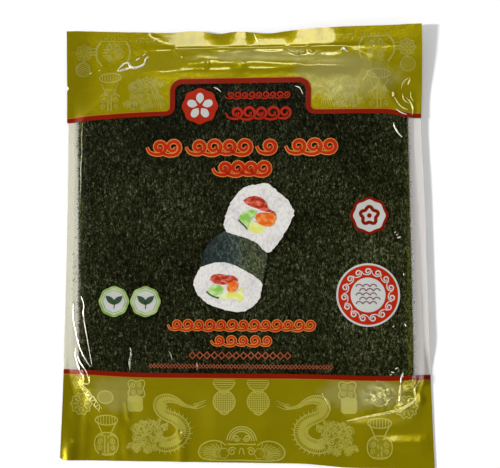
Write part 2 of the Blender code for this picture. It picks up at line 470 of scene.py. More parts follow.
print("wrinkle in the pucker:", round(float(wrinkles(0.0, 116.0)), 2), "mm")

# %% [markdown]
# Every thin piece here, film, ink or seaweed, is a shell: a grid of points for its top, another for
# its underside, and a closed rim that joins them. With the rim the piece still looks solid when it
# is seen from its edge.

# %% Shells, and pieces made from them
SHARP_EDGE = np.radians(40)


def shell(top, bottom):
    """Points and faces of a thin closed solid between two grids, whose rows run away from us."""
    rows, columns = top.shape[:2]
    number = np.arange(rows * columns).reshape(rows, columns)
    near = (number[:-1, :-1], number[:-1, 1:], number[1:, 1:], number[1:, :-1])
    upper = np.stack(near, -1).reshape(-1, 4)
    rim = np.concatenate([number[0, :-1], number[:-1, -1], number[-1, :0:-1], number[:0:-1, 0]])
    ahead = np.roll(rim, -1)
    under = rows * columns
    wall = np.stack([rim, rim + under, ahead + under, ahead], -1)
    points = np.concatenate([top.reshape(-1, 3), bottom.reshape(-1, 3)])
    return points, np.concatenate([upper, upper[:, ::-1] + under, wall])


def joined(parts):
    """Several sets of points and faces as one, each set's faces counting on from the last."""
    starts = np.cumsum([0] + [len(points) for points, _ in parts[:-1]])
    points = np.concatenate([points for points, _ in parts])
    return points, np.concatenate([faces + start for (_, faces), start in zip(parts, starts)])


def add_piece(name, parts, material):
    """One object from a list of shells, riding on the body and standing for the plain solid."""
    points, faces = joined(parts)
    mesh = bpy.data.meshes.new(name)
    mesh.from_pydata((points * MM).tolist(), [], faces.tolist())
    mesh.materials.append(material)
    mesh.shade_smooth()
    mesh.set_sharp_from_angle(angle=SHARP_EDGE)
    piece = bpy.data.objects.new(name, mesh)
    bpy.context.scene.collection.objects.link(piece)
    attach(piece, "root")
    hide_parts("nori_pouch")
    print(f"{name}: {2 * len(faces)} triangles")


def on_film(x, y, lift):
    """Points that lie on the front film, raised by lift."""
    return np.stack([x, y, film_height(x, y) + lift], -1)


def on_back(x, y, lift):
    """Points that lie on the back film, raised by lift."""
    return np.stack([x, y, back_height(x, y) + lift], -1)


def laid(x, y, lift, thickness, surface=on_film):
    """A thin sheet whose top lies at a lift over a surface, and its underside a thickness lower."""
    return shell(surface(x, y, lift), surface(x, y, lift - thickness))


print("faces of a small shell:", len(shell(np.zeros((3, 3, 3)), np.ones((3, 3, 3)))[1]))

# %% [markdown]
# Shader maths reads best as plain Python. A small class wraps one socket and overloads the
# operators, so that 1 - mask adds its Math node by itself. Every other node comes from one method,
# which takes the node's type, its settings and the values or links of its sockets.

# %% A class for shader maths
class Value:
    """One output socket of a node tree, with Python's operators."""

    def __init__(self, graph, socket):
        self.graph = graph
        self.socket = socket

    def __add__(self, other):
        return self.graph.maths("ADD", self, other)

    def __sub__(self, other):
        return self.graph.maths("SUBTRACT", self, other)

    def __mul__(self, other):
        return self.graph.maths("MULTIPLY", self, other)

    def __rsub__(self, other):
        return self.graph.maths("SUBTRACT", other, self)

    def __pow__(self, other):
        return self.graph.maths("POWER", self, other)

    __radd__ = __add__
    __rmul__ = __mul__


class Graph:
    """A node tree with one method that adds any node, and short names for common ones."""

    def __init__(self, tree):
        self.tree = tree

    def add(self, kind, settings=None, inputs=None, output=0):
        """Any node, with its settings set first, and then its values and links."""
        node = self.tree.nodes.new(kind)
        for key, value in (settings or {}).items():
            setattr(node, key, value)
        for key, value in (inputs or {}).items():
            if isinstance(value, Value):
                self.tree.links.new(value.socket, node.inputs[key])
            else:
                node.inputs[key].default_value = value
        return Value(self, node.outputs[output])

    def maths(self, operation, first, second=0.0):
        """One Math node for one operation."""
        return self.add("ShaderNodeMath", {"operation": operation}, {0: first, 1: second})

    def step(self, value, start, end, low=0.0, high=1.0):
        """An eased step from low at start to high at end."""
        inputs = {0: value, 1: start, 2: end, 3: low, 4: high}
        return self.add("ShaderNodeMapRange", {"interpolation_type": "SMOOTHSTEP"}, inputs)

    def mix(self, share, first, second):
        """A colour between two colours."""
        first, second = (c if isinstance(c, Value) else (*c, 1.0) for c in (first, second))
        return self.add("ShaderNodeMix", {"data_type": "RGBA"}, {0: share, 6: first, 7: second}, 2)

    def noise(self, place, scale, detail=2.0, roughness=0.5, distortion=0.0):
        """Soft hills of about 0 to 1, with scale hills to a millimetre."""
        inputs = {
            "Vector": place, "Scale": scale, "Detail": detail, "Roughness": roughness,
            "Distortion": distortion,
        }
        return self.add("ShaderNodeTexNoise", {"noise_dimensions": "3D"}, inputs)

    def place(self, scale=(1, 1, 1), turn=0.0, shift=(0, 0, 0)):
        """Object coordinates in millimetres, stretched, turned about Z and shifted."""
        where = self.add("ShaderNodeTexCoord", output="Object")
        size = tuple(s / MM for s in scale)
        inputs = {"Vector": where, "Scale": size, "Rotation": (0, 0, turn), "Location": shift}
        return self.add("ShaderNodeMapping", {"vector_type": "POINT"}, inputs)

    def axis(self, index, turn=0.0):
        """X, y or z in millimetres, by its index of 0, 1 or 2."""
        return self.add("ShaderNodeSeparateXYZ", None, {0: self.place(turn=turn)}, index)

    def bump(self, height, distance, strength=1.0):
        """A normal from a height of 0 to 1 that stands for distance in millimetres."""
        inputs = {"Height": height, "Distance": distance * MM, "Strength": strength}
        return self.add("ShaderNodeBump", None, inputs)


def new_material(name, varying, constant=None):
    """A material from functions of its graph for what varies, and numbers for what doesn't."""
    material = bpy.data.materials.new(name)
    material.use_nodes = True
    graph = Graph(material.node_tree)
    shader = material.node_tree.nodes["Principled BSDF"]
    for socket, value in varying(graph).items():
        graph.tree.links.new(value.socket, shader.inputs[socket])
    for socket, value in (constant or {}).items():
        shader.inputs[socket].default_value = value
    print("material:", name)
    return material


# %% [markdown]
# The film itself is nearly clear. A thin sheet shows only its reflections, and those grow as it is seen more
# from the side. A metallic, nearly white front with a low alpha does that in one shader: the alpha is the
# share of light that the film turns back. In the margins beside the stack the film is rubbed and milky, so
# there it is a plain pale plastic that hides a little of what lies under it. Its milk is darker close to the
# stack on the left, a painted shade, and lighter on the right, in the stack's shadow, partly painted light.

# %% The clear film
SHADED_MILK = (0.34, 0.325, 0.20)
LEFT_MILK = (0.60, 0.59, 0.45)
RIGHT_MILK_AND_PAINTED_LIGHT = (0.78, 0.75, 0.72)
HEAD_ON_MIRROR = 0.04
MOST_ALPHA = 0.95


def film_relief(graph, depth=0.3):
    """Fine wrinkles that all the film and all the print share, with their depth in mm."""
    soft = graph.noise(graph.place(), 0.09, 2, 0.5)
    fine = graph.noise(graph.place((1, 0.7, 1), 0.3), 0.45, 3, 0.55, 0.6)
    return graph.bump(soft * 0.75 + fine * 0.25, depth)


def clear_film(clear, metallic, base, haze, left, right, reach):
    """A film that turns back a base share of light, more at an angle, and more where it is hazy.

    Seen from its edge it turns back more by the fifth power of its facing. Left and right are the
    extra shares of the milky margins beside the stack. The left one grows from 0 to its full
    share between the two ends of its reach.
    """

    def varying(graph):
        """Colour, metal, alpha, roughness and relief of the film at a place."""
        cloudy = graph.noise(graph.place(), 0.05, 3, 0.6)
        leaning = {"Blend": 0.5, "Normal": film_relief(graph, 0.1)}
        facing = graph.add("ShaderNodeLayerWeight", None, leaning, 1)
        mirror = (1 - HEAD_ON_MIRROR) * facing**5 + HEAD_ON_MIRROR
        across = graph.axis(0, -STACK_TURN)
        at_left = graph.step(across, *reach)
        at_right = graph.step(across, 104.2, 105.6)
        outward = graph.step(across, 104.6, 110.0, 0.45, 1.0)
        rubbed = graph.maths(
            "MAXIMUM", graph.step(across, -102.6, -104.4), graph.step(across, 101.2, 103.0)
        )
        alpha = base + (0.5 * mirror + haze * graph.step(cloudy, 0.4, 0.75)) * (1 - rubbed)
        # The milk is partly real haze and partly painted light and shade: lighter on the right, more so
        # outwards, where the stack's shadow falls, and darker close to the stack on the left.
        milky = left * at_left + right * at_right * outward
        left_milk = graph.mix(graph.step(across, -107.5, -112.5), SHADED_MILK, LEFT_MILK)
        return {
            "Base Color": graph.mix(at_left, graph.mix(at_right, clear, RIGHT_MILK_AND_PAINTED_LIGHT), left_milk),
            "Metallic": metallic * (1 - graph.maths("MAXIMUM", at_left, at_right)),
            "Alpha": graph.maths("MINIMUM", alpha + milky, MOST_ALPHA),
            "Roughness": 0.05 + 0.06 * cloudy + 0.45 * rubbed,
            "Normal": film_relief(graph, 0.1),
        }

    return varying


front_look = clear_film(
    clear=(0.9, 0.9, 0.8), metallic=1.0, base=0.0, haze=0.01, left=0.16, right=0.5,
    reach=(-107.4, -111.4),
)
back_look = clear_film(
    clear=(0.8, 0.78, 0.66), metallic=0.0, base=0.03, haze=0.03, left=0.5, right=0.8,
    reach=(-105.4, -106.2),
)
FRONT_FILM = new_material("front film", front_look)
BACK_FILM = new_material("back film", back_look)

# %% [markdown]
# The real pouch is two films welded at their edges. Each is one grid over the whole outline, as
# thin as film. Its lines are closer where it wrinkles most, which saves triangles over the stack.

# %% The two films
FILM_THICKNESS = 0.05


def spaced(ends, gaps):
    """Grid lines through the given ends, with about the given gap between lines in each span."""
    runs = [
        np.linspace(a, b, max(int(round(abs(b - a) / gap)), 1), endpoint=False)
        for a, b, gap in zip(ends, ends[1:], gaps)
    ]
    return np.append(np.concatenate(runs), ends[-1])


FILM_COLUMNS = spaced((-118.9, -98, 98, 118.9), (0.7, 1.5, 0.7)) / (2 * HALF_WIDTH) + 0.5
FILM_ROWS = spaced((-HALF_LENGTH, -84, 84, HALF_LENGTH), (1.0, 1.9, 0.75)) / (2 * HALF_LENGTH) + 0.5
film_x, film_y = pouch_grid(FILM_COLUMNS, FILM_ROWS, bottom_edge, top_edge)
front_film = laid(film_x, film_y, 0, FILM_THICKNESS)
back_film = laid(film_x, film_y, FILM_THICKNESS, FILM_THICKNESS, on_back)
add_piece("film_front", [front_film], FRONT_FILM)
add_piece("film_back", [back_film], BACK_FILM)

# %% [markdown]
# The gold ink is printed on the film, so it lies in the film's own wrinkles and under its gloss. It
# is faintly metallic: soft light makes it olive, and a fold that faces a lamp flashes pale yellow.
# Where loose film lies off the print it veils the ink with grey, and some grey patches in the header and the
# footer are painted sheen, a painted reflection of grey light in the film. Towards the left end the gold
# inks are darker, a painted shade. A clear coat over a coloured base gives the gloss, and soft noise mixes
# two tones of each ink, as on thin plastic.

# %% Printed inks
# Each veil and painted sheen: its centre, its reach across and along, and its share at most.
VEILS_AND_SHEENS = (
    (62.0, 107.0, 34.0, 15.0, 0.36), (12.0, 121.5, 44.0, 4.5, 0.34), (-82.0, -95.0, 17.0, 12.0, 0.22),
    (69.0, -94.0, 21.0, 12.0, 0.30), (86.0, -95.0, 16.0, 8.0, 0.42),
)
VEIL_AND_SHEEN_COLOUR = (0.62, 0.60, 0.25)
PAINTED_SHADE_COLOUR = (0.1, 0.08, 0.0)
GLOSS = {"Coat Weight": 1.0, "Coat Roughness": 0.05, "Coat IOR": 1.5, "Specular IOR Level": 0.1}


def veiled_and_sheened(graph, base):
    """A colour under loose film, greyer in round patches whose edges noise makes ragged: partly a veil,
    partly painted sheen.
    """
    ragged = 0.9 * graph.noise(graph.place(), 0.12, 3, 0.6)
    share = 0.0
    for x, y, reach_x, reach_y, most in VEILS_AND_SHEENS:
        place = graph.place((1 / reach_x, 1 / reach_y, 0), shift=(-x / reach_x, -y / reach_y, 0))
        away = graph.add("ShaderNodeVectorMath", {"operation": "LENGTH"}, {0: place}, 1)
        share = share + graph.step(away + ragged, 1.65, 1.05, 0.0, most)
    return graph.mix(share, base, VEIL_AND_SHEEN_COLOUR)


def ink(colour, pale, patches, size, under_film):
    """An ink that varies between a colour and a paler one in soft patches.

    Under loose film it takes grey patches, partly a veil and partly painted sheen. It is darker at the left
    end, where it falls away towards the seal, which is painted shade, and its coat is duller towards both
    ends.
    """

    def varying(graph):
        """Colour, roughness, coat and relief of the ink at a place."""
        broad = graph.noise(graph.place((1, 1.6, 1)), size, 2, 0.5)
        grain = graph.noise(graph.place(), 1.4, 2, 0.6)
        share = graph.step(broad, 0.38, 0.72) * patches + (grain - 0.5) * 0.25
        base = graph.mix(graph.maths("MAXIMUM", share, 0.0), colour, pale)
        look = {"Base Color": base, "Roughness": 0.18 + 0.12 * grain, "Normal": film_relief(graph)}
        if under_film:
            across = graph.axis(0)
            # Painted shade: the ink darkens towards the left end, where the film falls away towards the
            # seal.
            fallen = graph.step(across, -97, -107, 0.0, 0.3)
            dull = graph.step(graph.maths("ABSOLUTE", across + 2.0), 60, 85)
            look["Base Color"] = graph.mix(fallen, veiled_and_sheened(graph, base), PAINTED_SHADE_COLOUR)
            look["Coat Weight"] = 1 - 0.5 * dull
        return look

    return varying


def plain_ink(name, colour, pale, patches=0.5, size=0.035):
    """A glossy ink of two tones."""
    return new_material(name, ink(colour, pale, patches, size, False), GLOSS)


def gold_ink(name, colour, pale, patches, metallic, size=0.035):
    """A glossy ink with a metallic share, lying under loose film."""
    return new_material(name, ink(colour, pale, patches, size, True), {**GLOSS, "Metallic": metallic})


GOLD = gold_ink("gold ink", (0.335, 0.274, 0.0002), (0.36, 0.305, 0.003), 0.6, 0.5)
RED = plain_ink("red ink", (0.17, 0.0075, 0.0005), (0.2, 0.012, 0.001))
ORANGE = plain_ink("orange ink", (0.34, 0.11, 0.012), (0.4, 0.17, 0.03))

# %% [markdown]
# The header ends in a red line, which steps up round a tab in its middle. An image could carry the
# print, but its edges would blur close up. Here the line's gold side is one path of straights and
# round arcs, and each band of print is a thin sheet between two such paths, with its true outline.

# %% The lines of the header and the footer
LAYER = 0.1
HEADER_LINE_Y = 84.2
HEADER_ENDS = (-117.6, 111.8)
HEADER_WIDTH = 2.9
HEADER_POINTS = 84
TAB_LEFT = -48.95
TAB_RIGHT = 41.95
TAB_TOP = 106.6
TAB_BORDER = 3.3
TAB_CORNER = 8.0
TAB_FILLET = 3.0
TAB_MIDDLE = -3.5
TAB_REACH = 47.0
TAB_GAP = 0.8
FOOTER_LINE_WIDTH = 2.9


def header_line(x):
    """Middle of the header's red line: level, drooping towards both sides."""
    left = 3.2 * (np.maximum(-x - 45, 0) / 70) ** 2
    return HEADER_LINE_Y - left - 3.0 * smooth(x, 88, 108)


def footer_line(x):
    """Middle of the footer's red line, which sags a little to the right."""
    return -83.5 + 1.9 * smooth(-x, 60, 118) - 0.9 * hump(x, 88, 30) + 0.4 * smooth(x, 100, 117)


def arc(centre, radius, start, end, count):
    """Points of a round arc between two angles in degrees."""
    angle = np.radians(np.linspace(start, end, count))
    return np.stack([centre[0] + radius * np.cos(angle), centre[1] + radius * np.sin(angle)], -1)


def run(start, end, gap):
    """Points of a straight run without its last point."""
    count = max(int(np.hypot(*np.subtract(end, start)) / gap), 1)
    return np.linspace(start, end, count, endpoint=False)


def header_edge():
    """The gold side of the header's red line, round the tab: line, fillet, side, corner, top."""
    base = HEADER_LINE_Y + HEADER_WIDTH / 2
    shoulder = TAB_TOP - TAB_CORNER
    fillet_left = TAB_LEFT - TAB_FILLET
    fillet_right = TAB_RIGHT + TAB_FILLET
    corner_left = TAB_LEFT + TAB_CORNER
    corner_right = TAB_RIGHT - TAB_CORNER
    left = np.linspace(HEADER_ENDS[0], fillet_left, HEADER_POINTS, endpoint=False)
    right = np.linspace(fillet_right, HEADER_ENDS[1], HEADER_POINTS)[1:]
    return np.concatenate([
        np.stack([left, header_line(left) + HEADER_WIDTH / 2], -1),
        arc((fillet_left, base + TAB_FILLET), TAB_FILLET, -90, 0, 8),
        run((TAB_LEFT, base + TAB_FILLET + 0.6), (TAB_LEFT, shoulder), TAB_GAP),
        arc((corner_left, shoulder), TAB_CORNER, 180, 90, 16),
        run((corner_left + TAB_GAP, TAB_TOP), (corner_right, TAB_TOP), TAB_GAP),
        arc((corner_right, shoulder), TAB_CORNER, 90, 0, 16),
        run((TAB_RIGHT, shoulder - TAB_GAP), (TAB_RIGHT, base + TAB_FILLET), TAB_GAP),
        arc((fillet_right, base + TAB_FILLET), TAB_FILLET, 180, 270, 8),
        np.stack([right, header_line(right) + HEADER_WIDTH / 2], -1),
    ])


print("points along the header's edge:", len(header_edge()))

# %% [markdown]
# The gold field reaches from this path to the pouch's top edge, so its grid swings from one to the
# other. The red line and the thin orange edge beside it are bands of a given width along the path.
# Each lies a tenth of a millimetre over the last, because two sheets at one height would flicker.

# %% The header's gold, red line and orange edge
GOLD_ROWS = 62
RED_THICKNESS = 0.2
EDGE_THICKNESS = 0.12


def sideways(path, closed=False):
    """Unit vectors to the left of a path at each of its points."""
    ahead = np.roll(path, -1, 0) - np.roll(path, 1, 0) if closed else np.gradient(path, axis=0)
    ahead = ahead / np.linalg.norm(ahead, axis=1, keepdims=True)
    return np.stack([-ahead[:, 1], ahead[:, 0]], -1)


def strip(left, right, lift, thickness, cells):
    """A band of a few cells between two paths of equal count, laid on the film."""
    share = np.linspace(0, 1, cells + 1)[None, :, None]
    flat = between(left[:, None, :], right[:, None, :], share)
    return laid(flat[..., 0], flat[..., 1], lift, thickness)


def header_gold(path):
    """A sheet between a path along the header line and the top edge of the pouch.

    Each point of the path has a partner on the top edge, at the same share of the path's length.
    """
    left = left_side(path[:, 1])
    share = (path[:, 0] - left) / (right_side(path[:, 1]) - left)
    steps = np.hypot(*np.diff(path, axis=0).T)
    along = np.append(0, np.cumsum(steps)) / steps.sum()
    along = between(share[0], share[-1], along)
    rise = np.linspace(0, 1, GOLD_ROWS)[:, None]
    across = between(share[None, :], along[None, :], rise)
    top = top_edge(between(-HALF_WIDTH, HALF_WIDTH, along))
    y = between(path[None, :, 1], top[None, :], rise)
    return laid(at_shares(across, y), y, LAYER, LAYER)


edge_path = header_edge()
to_right = -sideways(edge_path)
in_tab = np.abs(edge_path[:, 0] - TAB_MIDDLE) < TAB_REACH
line_width = np.where(in_tab, TAB_BORDER, HEADER_WIDTH)[:, None]
header_red = strip(edge_path, edge_path + line_width * to_right, 2 * LAYER, RED_THICKNESS, 3)
header_orange = strip(
    edge_path - 0.55 * to_right, edge_path + 0.4 * to_right, 1.5 * LAYER, EDGE_THICKNESS, 1
)
add_piece("header_gold", [header_gold(edge_path + 0.4 * to_right)], GOLD)
add_piece("header_red_line", [header_red], RED)
add_piece("header_orange_edge", [header_orange], ORANGE)

# %% [markdown]
# The footer's gold runs from side to side, so it comes from the pouch's own grid of shares, and it
# ends out of sight under the red line. That line and its edge are bands along the line itself.

# %% The footer's gold, red line and orange edge
def footer_strip(above, below, lift):
    """A band along the footer line, from below to above it."""
    across = np.linspace(0, 1, 240)
    middle = footer_line(between(-HALF_WIDTH, HALF_WIDTH, across))
    upper, lower = (
        np.stack([at_shares(across, middle + away), middle + away], -1) for away in (above, below)
    )
    return strip(upper, lower, lift, RED_THICKNESS, 3)


half_line = FOOTER_LINE_WIDTH / 2
footer_x, footer_y = pouch_grid(
    np.linspace(0, 1, 280), np.linspace(0, 1, 64), bottom_edge, lambda x: footer_line(x) - 1.0
)
footer_red = footer_strip(half_line, -half_line, 2 * LAYER)
footer_orange = footer_strip(-half_line + 0.3, -half_line - 0.5, 1.5 * LAYER)
add_piece("footer_gold", [laid(footer_x, footer_y, LAYER, LAYER)], GOLD)
add_piece("footer_red_line", [footer_red], RED)
add_piece("footer_orange_edge", [footer_orange], ORANGE)

# %% [markdown]
# The back film carries the same bands. They are out of sight here, so they stay plain: a gold field
# at each end and a red line beside it, on its underside.

# %% The bands on the back
BACK_LAYER = 0.03
BACK_HEADER = (HEADER_LINE_Y - 1.6, HEADER_LINE_Y + 1.0)
BACK_FOOTER = (-84.0, -81.4)


def level(height):
    """A line straight across the pouch."""
    return lambda x: height + 0 * x


def back_band(near, far):
    """A thin sheet under the back film between two heights along the pouch, at all its width."""
    x, y = pouch_grid(np.linspace(0, 1, 120), np.linspace(0, 1, 24), near, far)
    return laid(x, y, 0, BACK_LAYER, on_back)


back_golds = [back_band(level(BACK_HEADER[1]), top_edge), back_band(bottom_edge, level(BACK_FOOTER[0]))]
back_reds = [back_band(level(low), level(high)) for low, high in (BACK_HEADER, BACK_FOOTER)]
add_piece("back_gold", back_golds, GOLD)
add_piece("back_red_lines", back_reds, RED)

# %% [markdown]
# Ornaments, badges and pictures are fields of ink as well, and three builders make them all: a band
# between two edges, a line of a given width along a path, and a filled outline. Each is laid on the
# film, so it bends with the wrinkles.

# %% Bands, lines and fills
INK_THICKNESS = 0.1


def tube(sections, closed=False):
    """Points and faces round a row of equal sections, capped at both ends unless it is closed."""
    count, around = sections.shape[:2]
    number = np.arange(count * around).reshape(count, around)
    behind = number if closed else number[:-1]
    ahead = np.roll(number, -1, axis=0)[: len(behind)]
    sides = np.stack([behind, ahead, np.roll(ahead, -1, 1), np.roll(behind, -1, 1)], -1)
    faces = [sides.reshape(-1, 4)]
    if not closed:
        fan = np.array([(0, k, k + 1, k + 2) for k in range(1, around - 1, 2)])
        faces += [number[0][fan], number[-1][fan][:, ::-1]]
    return sections.reshape(-1, 3), np.concatenate(faces)


def band(right, left, lift, closed=False):
    """Ink between two edges of equal count, the second on the left of the first."""
    edges = (right, left, left, right)
    lifts = (lift, lift, lift - INK_THICKNESS, lift - INK_THICKNESS)
    corners = [on_film(edge[:, 0], edge[:, 1], z) for edge, z in zip(edges, lifts)]
    return tube(np.stack(corners, 1), closed)


def line(path, width, lift, closed=False):
    """Ink of a width, or of a width for each point, along a path."""
    path = np.asarray(path, dtype=float)
    half = np.broadcast_to(width, len(path))[:, None] / 2
    aside = half * sideways(path, closed)
    return band(path - aside, path + aside, lift, closed)


def fill(outline, lift, cells=8):
    """Ink inside an outline that runs anticlockwise.

    A square grid is pulled onto the outline: each square ring of it becomes the outline, shrunk
    towards its middle.
    """
    outline = np.asarray(outline, dtype=float)
    centre = outline.mean(axis=0)
    u, v = np.meshgrid(np.linspace(-1, 1, cells + 1), np.linspace(-1, 1, cells + 1))
    ring = np.maximum(np.maximum(np.abs(u), np.abs(v)), 1e-9)
    side = np.select([v <= -ring, u >= ring, v >= ring], [0, 1, 2], 3)
    forward = [1 + u / ring, 1 + v / ring, 1 - u / ring]
    along = np.select([side == 0, side == 1, side == 2], forward, 1 - v / ring)
    place = (side + along / 2) % 4 / 4 * len(outline)
    steps = np.arange(len(outline) + 1)
    ringed = np.concatenate([outline, outline[:1]])
    x, y = (
        centre[i] + ring * (np.interp(place, steps, ringed[:, i]) - centre[i]) for i in (0, 1)
    )
    return laid(x, y, lift, INK_THICKNESS)


print("faces of a short line:", len(line([(0, 0), (1, 0), (2, 1)], 0.5, 0)[1]))

# %% [markdown]
# Few points should be enough to draw with. A smooth line through some points gives bodies and
# flames, a round outline with waves on it gives discs, petals and scallops, and a spiral gives
# scrolls.

# %% Curves, lobed rounds and scrolls
def curve(points, gap=0.9):
    """A smooth line through points, which leaves each in the direction between its neighbours."""
    points = np.asarray(points, dtype=float)
    slope = np.gradient(points, axis=0)
    longest = np.hypot(*np.diff(points, axis=0).T).max()
    s = np.linspace(0, 1, max(int(longest / gap), 2), endpoint=False)[None, :, None]
    start, end = points[:-1, None], points[1:, None]
    leave, arrive = slope[:-1, None], slope[1:, None]
    bend = s * (1 - s) * ((1 - s) * leave - s * arrive)
    body = between(start, end, s * s * (3 - 2 * s)) + bend
    return np.concatenate([body.reshape(-1, 2), points[-1:]])


def lobed(centre, radius, lobes=0, depth=0.0, count=48, turn=0.0, squash=1.0):
    """A closed outline, anticlockwise: radius * (1 + depth * cos(lobes * angle))."""
    angle = np.radians(np.linspace(0, 360, count, endpoint=False))
    reach = radius * (1 + depth * np.cos(lobes * (angle - np.radians(turn))))
    return np.stack([centre[0] + reach * np.cos(angle), centre[1] + squash * reach * np.sin(angle)], -1)


def spiral(centre, radius, start, turns=1.4, inner=0.2):
    """A scroll that winds from its rim inwards; negative turns wind clockwise."""
    share = np.linspace(0, 1, max(int(14 * abs(turns)), 6))
    angle = np.radians(start) + 2 * np.pi * turns * share
    reach = radius * between(1.0, inner, share)
    return np.stack([centre[0] + reach * np.cos(angle), centre[1] + reach * np.sin(angle)], -1)


print("points in a scroll:", len(spiral((0, 0), 2.0, 0)))

# %% [markdown]
# The paler ornaments are old, common ones: dragons, lanterns, lattice medallions, rosettes and a
# clouded arch. Such line work could be traced from a drawing. Here it is drawn anew from scrolls
# and ribs: each motif is a short function that returns its lines, with their widths.

# %% Pale gold inks and round motifs
PALE_GOLD = gold_ink("pale gold ink", (0.43, 0.39, 0.045), (0.48, 0.44, 0.085), 0.8, 0.3)
FAINT_GOLD = gold_ink("faint gold ink", (0.375, 0.328, 0.035), (0.42, 0.38, 0.09), 0.8, 0.4)
MISTY_GOLD = gold_ink("misty gold ink", (0.35, 0.296, 0.008), (0.39, 0.345, 0.035), 1.0, 0.45, 0.25)
HAIR = 0.55
STROKE = 0.9
PETAL_TAPER = np.array([HAIR, 2.4 * HAIR, HAIR])
AXIS = -1.8


def strokes(*paths, width=STROKE, closed=False):
    """Lines of one width. A line is its path, its width, and whether it closes on itself."""
    return [(path, width, closed) for path in paths]


def hairs(*paths, closed=False):
    """Lines of the finest width."""
    return strokes(*paths, width=HAIR, closed=closed)


def heading(degrees):
    """The unit vector at an angle from the right: its cosine and its sine."""
    angle = np.radians(degrees)
    return np.array([np.cos(angle), np.sin(angle)])


def medallion(centre, radius):
    """A disc of crossing lines, each as long as the disc is wide there, with a point under it."""
    x, y = centre
    lines = strokes(lobed(centre, radius, count=30), closed=True)
    for offset in np.arange(-0.8, 0.81, 0.2) * radius:
        half = np.sqrt(radius**2 - offset**2)
        lines += hairs(
            [(x + offset, y - half), (x + offset, y), (x + offset, y + half)],
            [(x - half, y + offset), (x, y + offset), (x + half, y + offset)],
        )
    return lines + strokes(curve([(x - 3, y - radius), (x, y - radius - 1.4), (x + 3, y - radius)]))


def rosette(centre, radius, lobes=8):
    """A scalloped ring round a smaller one and a dot, with a petal for each lobe."""
    lines = strokes(lobed(centre, radius, lobes, 0.09, 6 * lobes), closed=True)
    lines += hairs(lobed(centre, radius * 0.38, count=18), closed=True)
    dot = radius * 0.12
    lines += strokes(lobed(centre, dot / 2, count=8), width=dot, closed=True)
    for angle in np.arange(lobes) * 360 / lobes:
        ends = [np.add(centre, heading(angle) * radius * share) for share in (0.45, 0.88)]
        lines += strokes(np.linspace(*ends, 3), width=PETAL_TAPER)
    return lines


def blossom(centre, radius):
    """Four round petals with a scroll in each."""
    lines = strokes(lobed(centre, radius, 4, 0.22, 40, 45), closed=True)
    for turn in (45, 135, 225, 315):
        petal = np.add(centre, 0.55 * radius * heading(turn))
        lines += hairs(spiral(petal, radius * 0.3, turn))
    return lines


def ribbed_disc(centre, radius, squash=1.0, tilt=-25):
    """A round with slanting ribs across it, each a little shorter than the disc is wide there."""
    lines = strokes(lobed(centre, radius, count=28, squash=squash), closed=True)
    ahead = heading(tilt)
    aside = heading(tilt + 90)
    for offset in np.linspace(-0.75, 0.75, 7):
        half = 0.92 * radius * np.sqrt(1 - offset**2)
        middle = aside * offset * radius
        rib = np.linspace(middle - ahead * half, middle + ahead * half, 4) * (1, squash)
        lines += hairs(np.add(centre, rib))
    return lines


print("lines in a rosette:", len(rosette((0, 0), 5.0)))

# %% [markdown]
# A lantern hangs under its canopy on two cords. It is the same on its left and its right, so only
# one side is written down, and each path of it is used again with its x turned round.

# %% The lantern
LANTERN_CORD = ((6.0, 13), (3.8, 8.6), (2.2, 4.6))
LANTERN_SHOULDER = ((6.8, 3.8), (4.6, 5.6), (2.2, 4.9))
LANTERN_BAR = ((1.1, -5.6), (1.1, 0), (1.1, 5.2))


def lantern(centre, disc_rise=15.0):
    """A round lantern on two cords under a ribbed canopy, with bars and scrolls inside."""
    x, y = centre
    lines = strokes(lobed(centre, 8.0, 4, 0.03, 40, 45, 0.92), closed=True)
    lines += strokes(curve([(x - 4.6, y - 6.4), (x, y - 6.9), (x + 4.6, y - 6.4)]), width=1.5 * STROKE)
    for side in (-1, 1):
        cord, shoulder, bar = (
            np.multiply(path, (side, 1)) + centre
            for path in (LANTERN_CORD, LANTERN_SHOULDER, LANTERN_BAR)
        )
        lines += strokes(curve(cord), curve(shoulder), bar)
        lines += hairs(
            spiral((x + side * 4.4, y + 1.6), 2.0, 90, side * 1.5),
            spiral((x + side * 4.2, y - 2.6), 1.8, 270, side * 1.5),
        )
    return lines + ribbed_disc((x, y + disc_rise), 7.4, 0.42, 90)


print("lines in a lantern:", len(lantern((0, 0))))

# %% [markdown]
# A coiled dragon fills each side of the footer. Its body is one smooth line whose width swells
# towards the head, with slanting ribs across it and spines along its back. The tail ends in three
# flames, and the mane and claws are a bank of scrolls that wind in turn to both sides.

# %% The dragon
DRAGON_BODY = (
    (-33.2, -103.4), (-38.0, -102.2), (-42.6, -99.4), (-48.1, -97.9), (-53.0, -99.3),
    (-54.6, -102.6), (-53.4, -106.2), (-49.8, -108.9), (-44.6, -110.9), (-40.6, -114.2),
    (-39.2, -118.6), (-41.0, -123.2), (-45.4, -126.3), (-50.8, -127.4), (-55.6, -125.6),
)
# Each scroll of the mane: its place and its radius.
DRAGON_SCROLLS = (
    (-69.7, -117.9, 2.2), (-65.1, -114.8, 2.0), (-60.4, -114.2, 2.3), (-55.6, -113.9, 2.0),
    (-51.4, -116.0, 1.7), (-65.4, -120.1, 2.1), (-60.6, -119.4, 2.4), (-56.0, -119.2, 2.3),
    (-69.0, -123.2, 1.8), (-64.0, -124.4, 2.2), (-58.8, -124.4, 2.2), (-54.0, -123.0, 2.0),
    (-72.7, -128.2, 1.9), (-68.0, -128.0, 1.7), (-63.0, -129.0, 1.9), (-68.6, -131.4, 1.4),
    (-61.4, -131.2, 1.4), (-57.4, -129.0, 1.5),
)
# Each flame of the tail: how far it bends up, and where it ends.
DRAGON_FLAMES = ((1.8, -23.8), (0.3, -25.0), (-1.5, -24.2))
SPINE_TAPER = np.array([0.9, 0.6, 0.2])


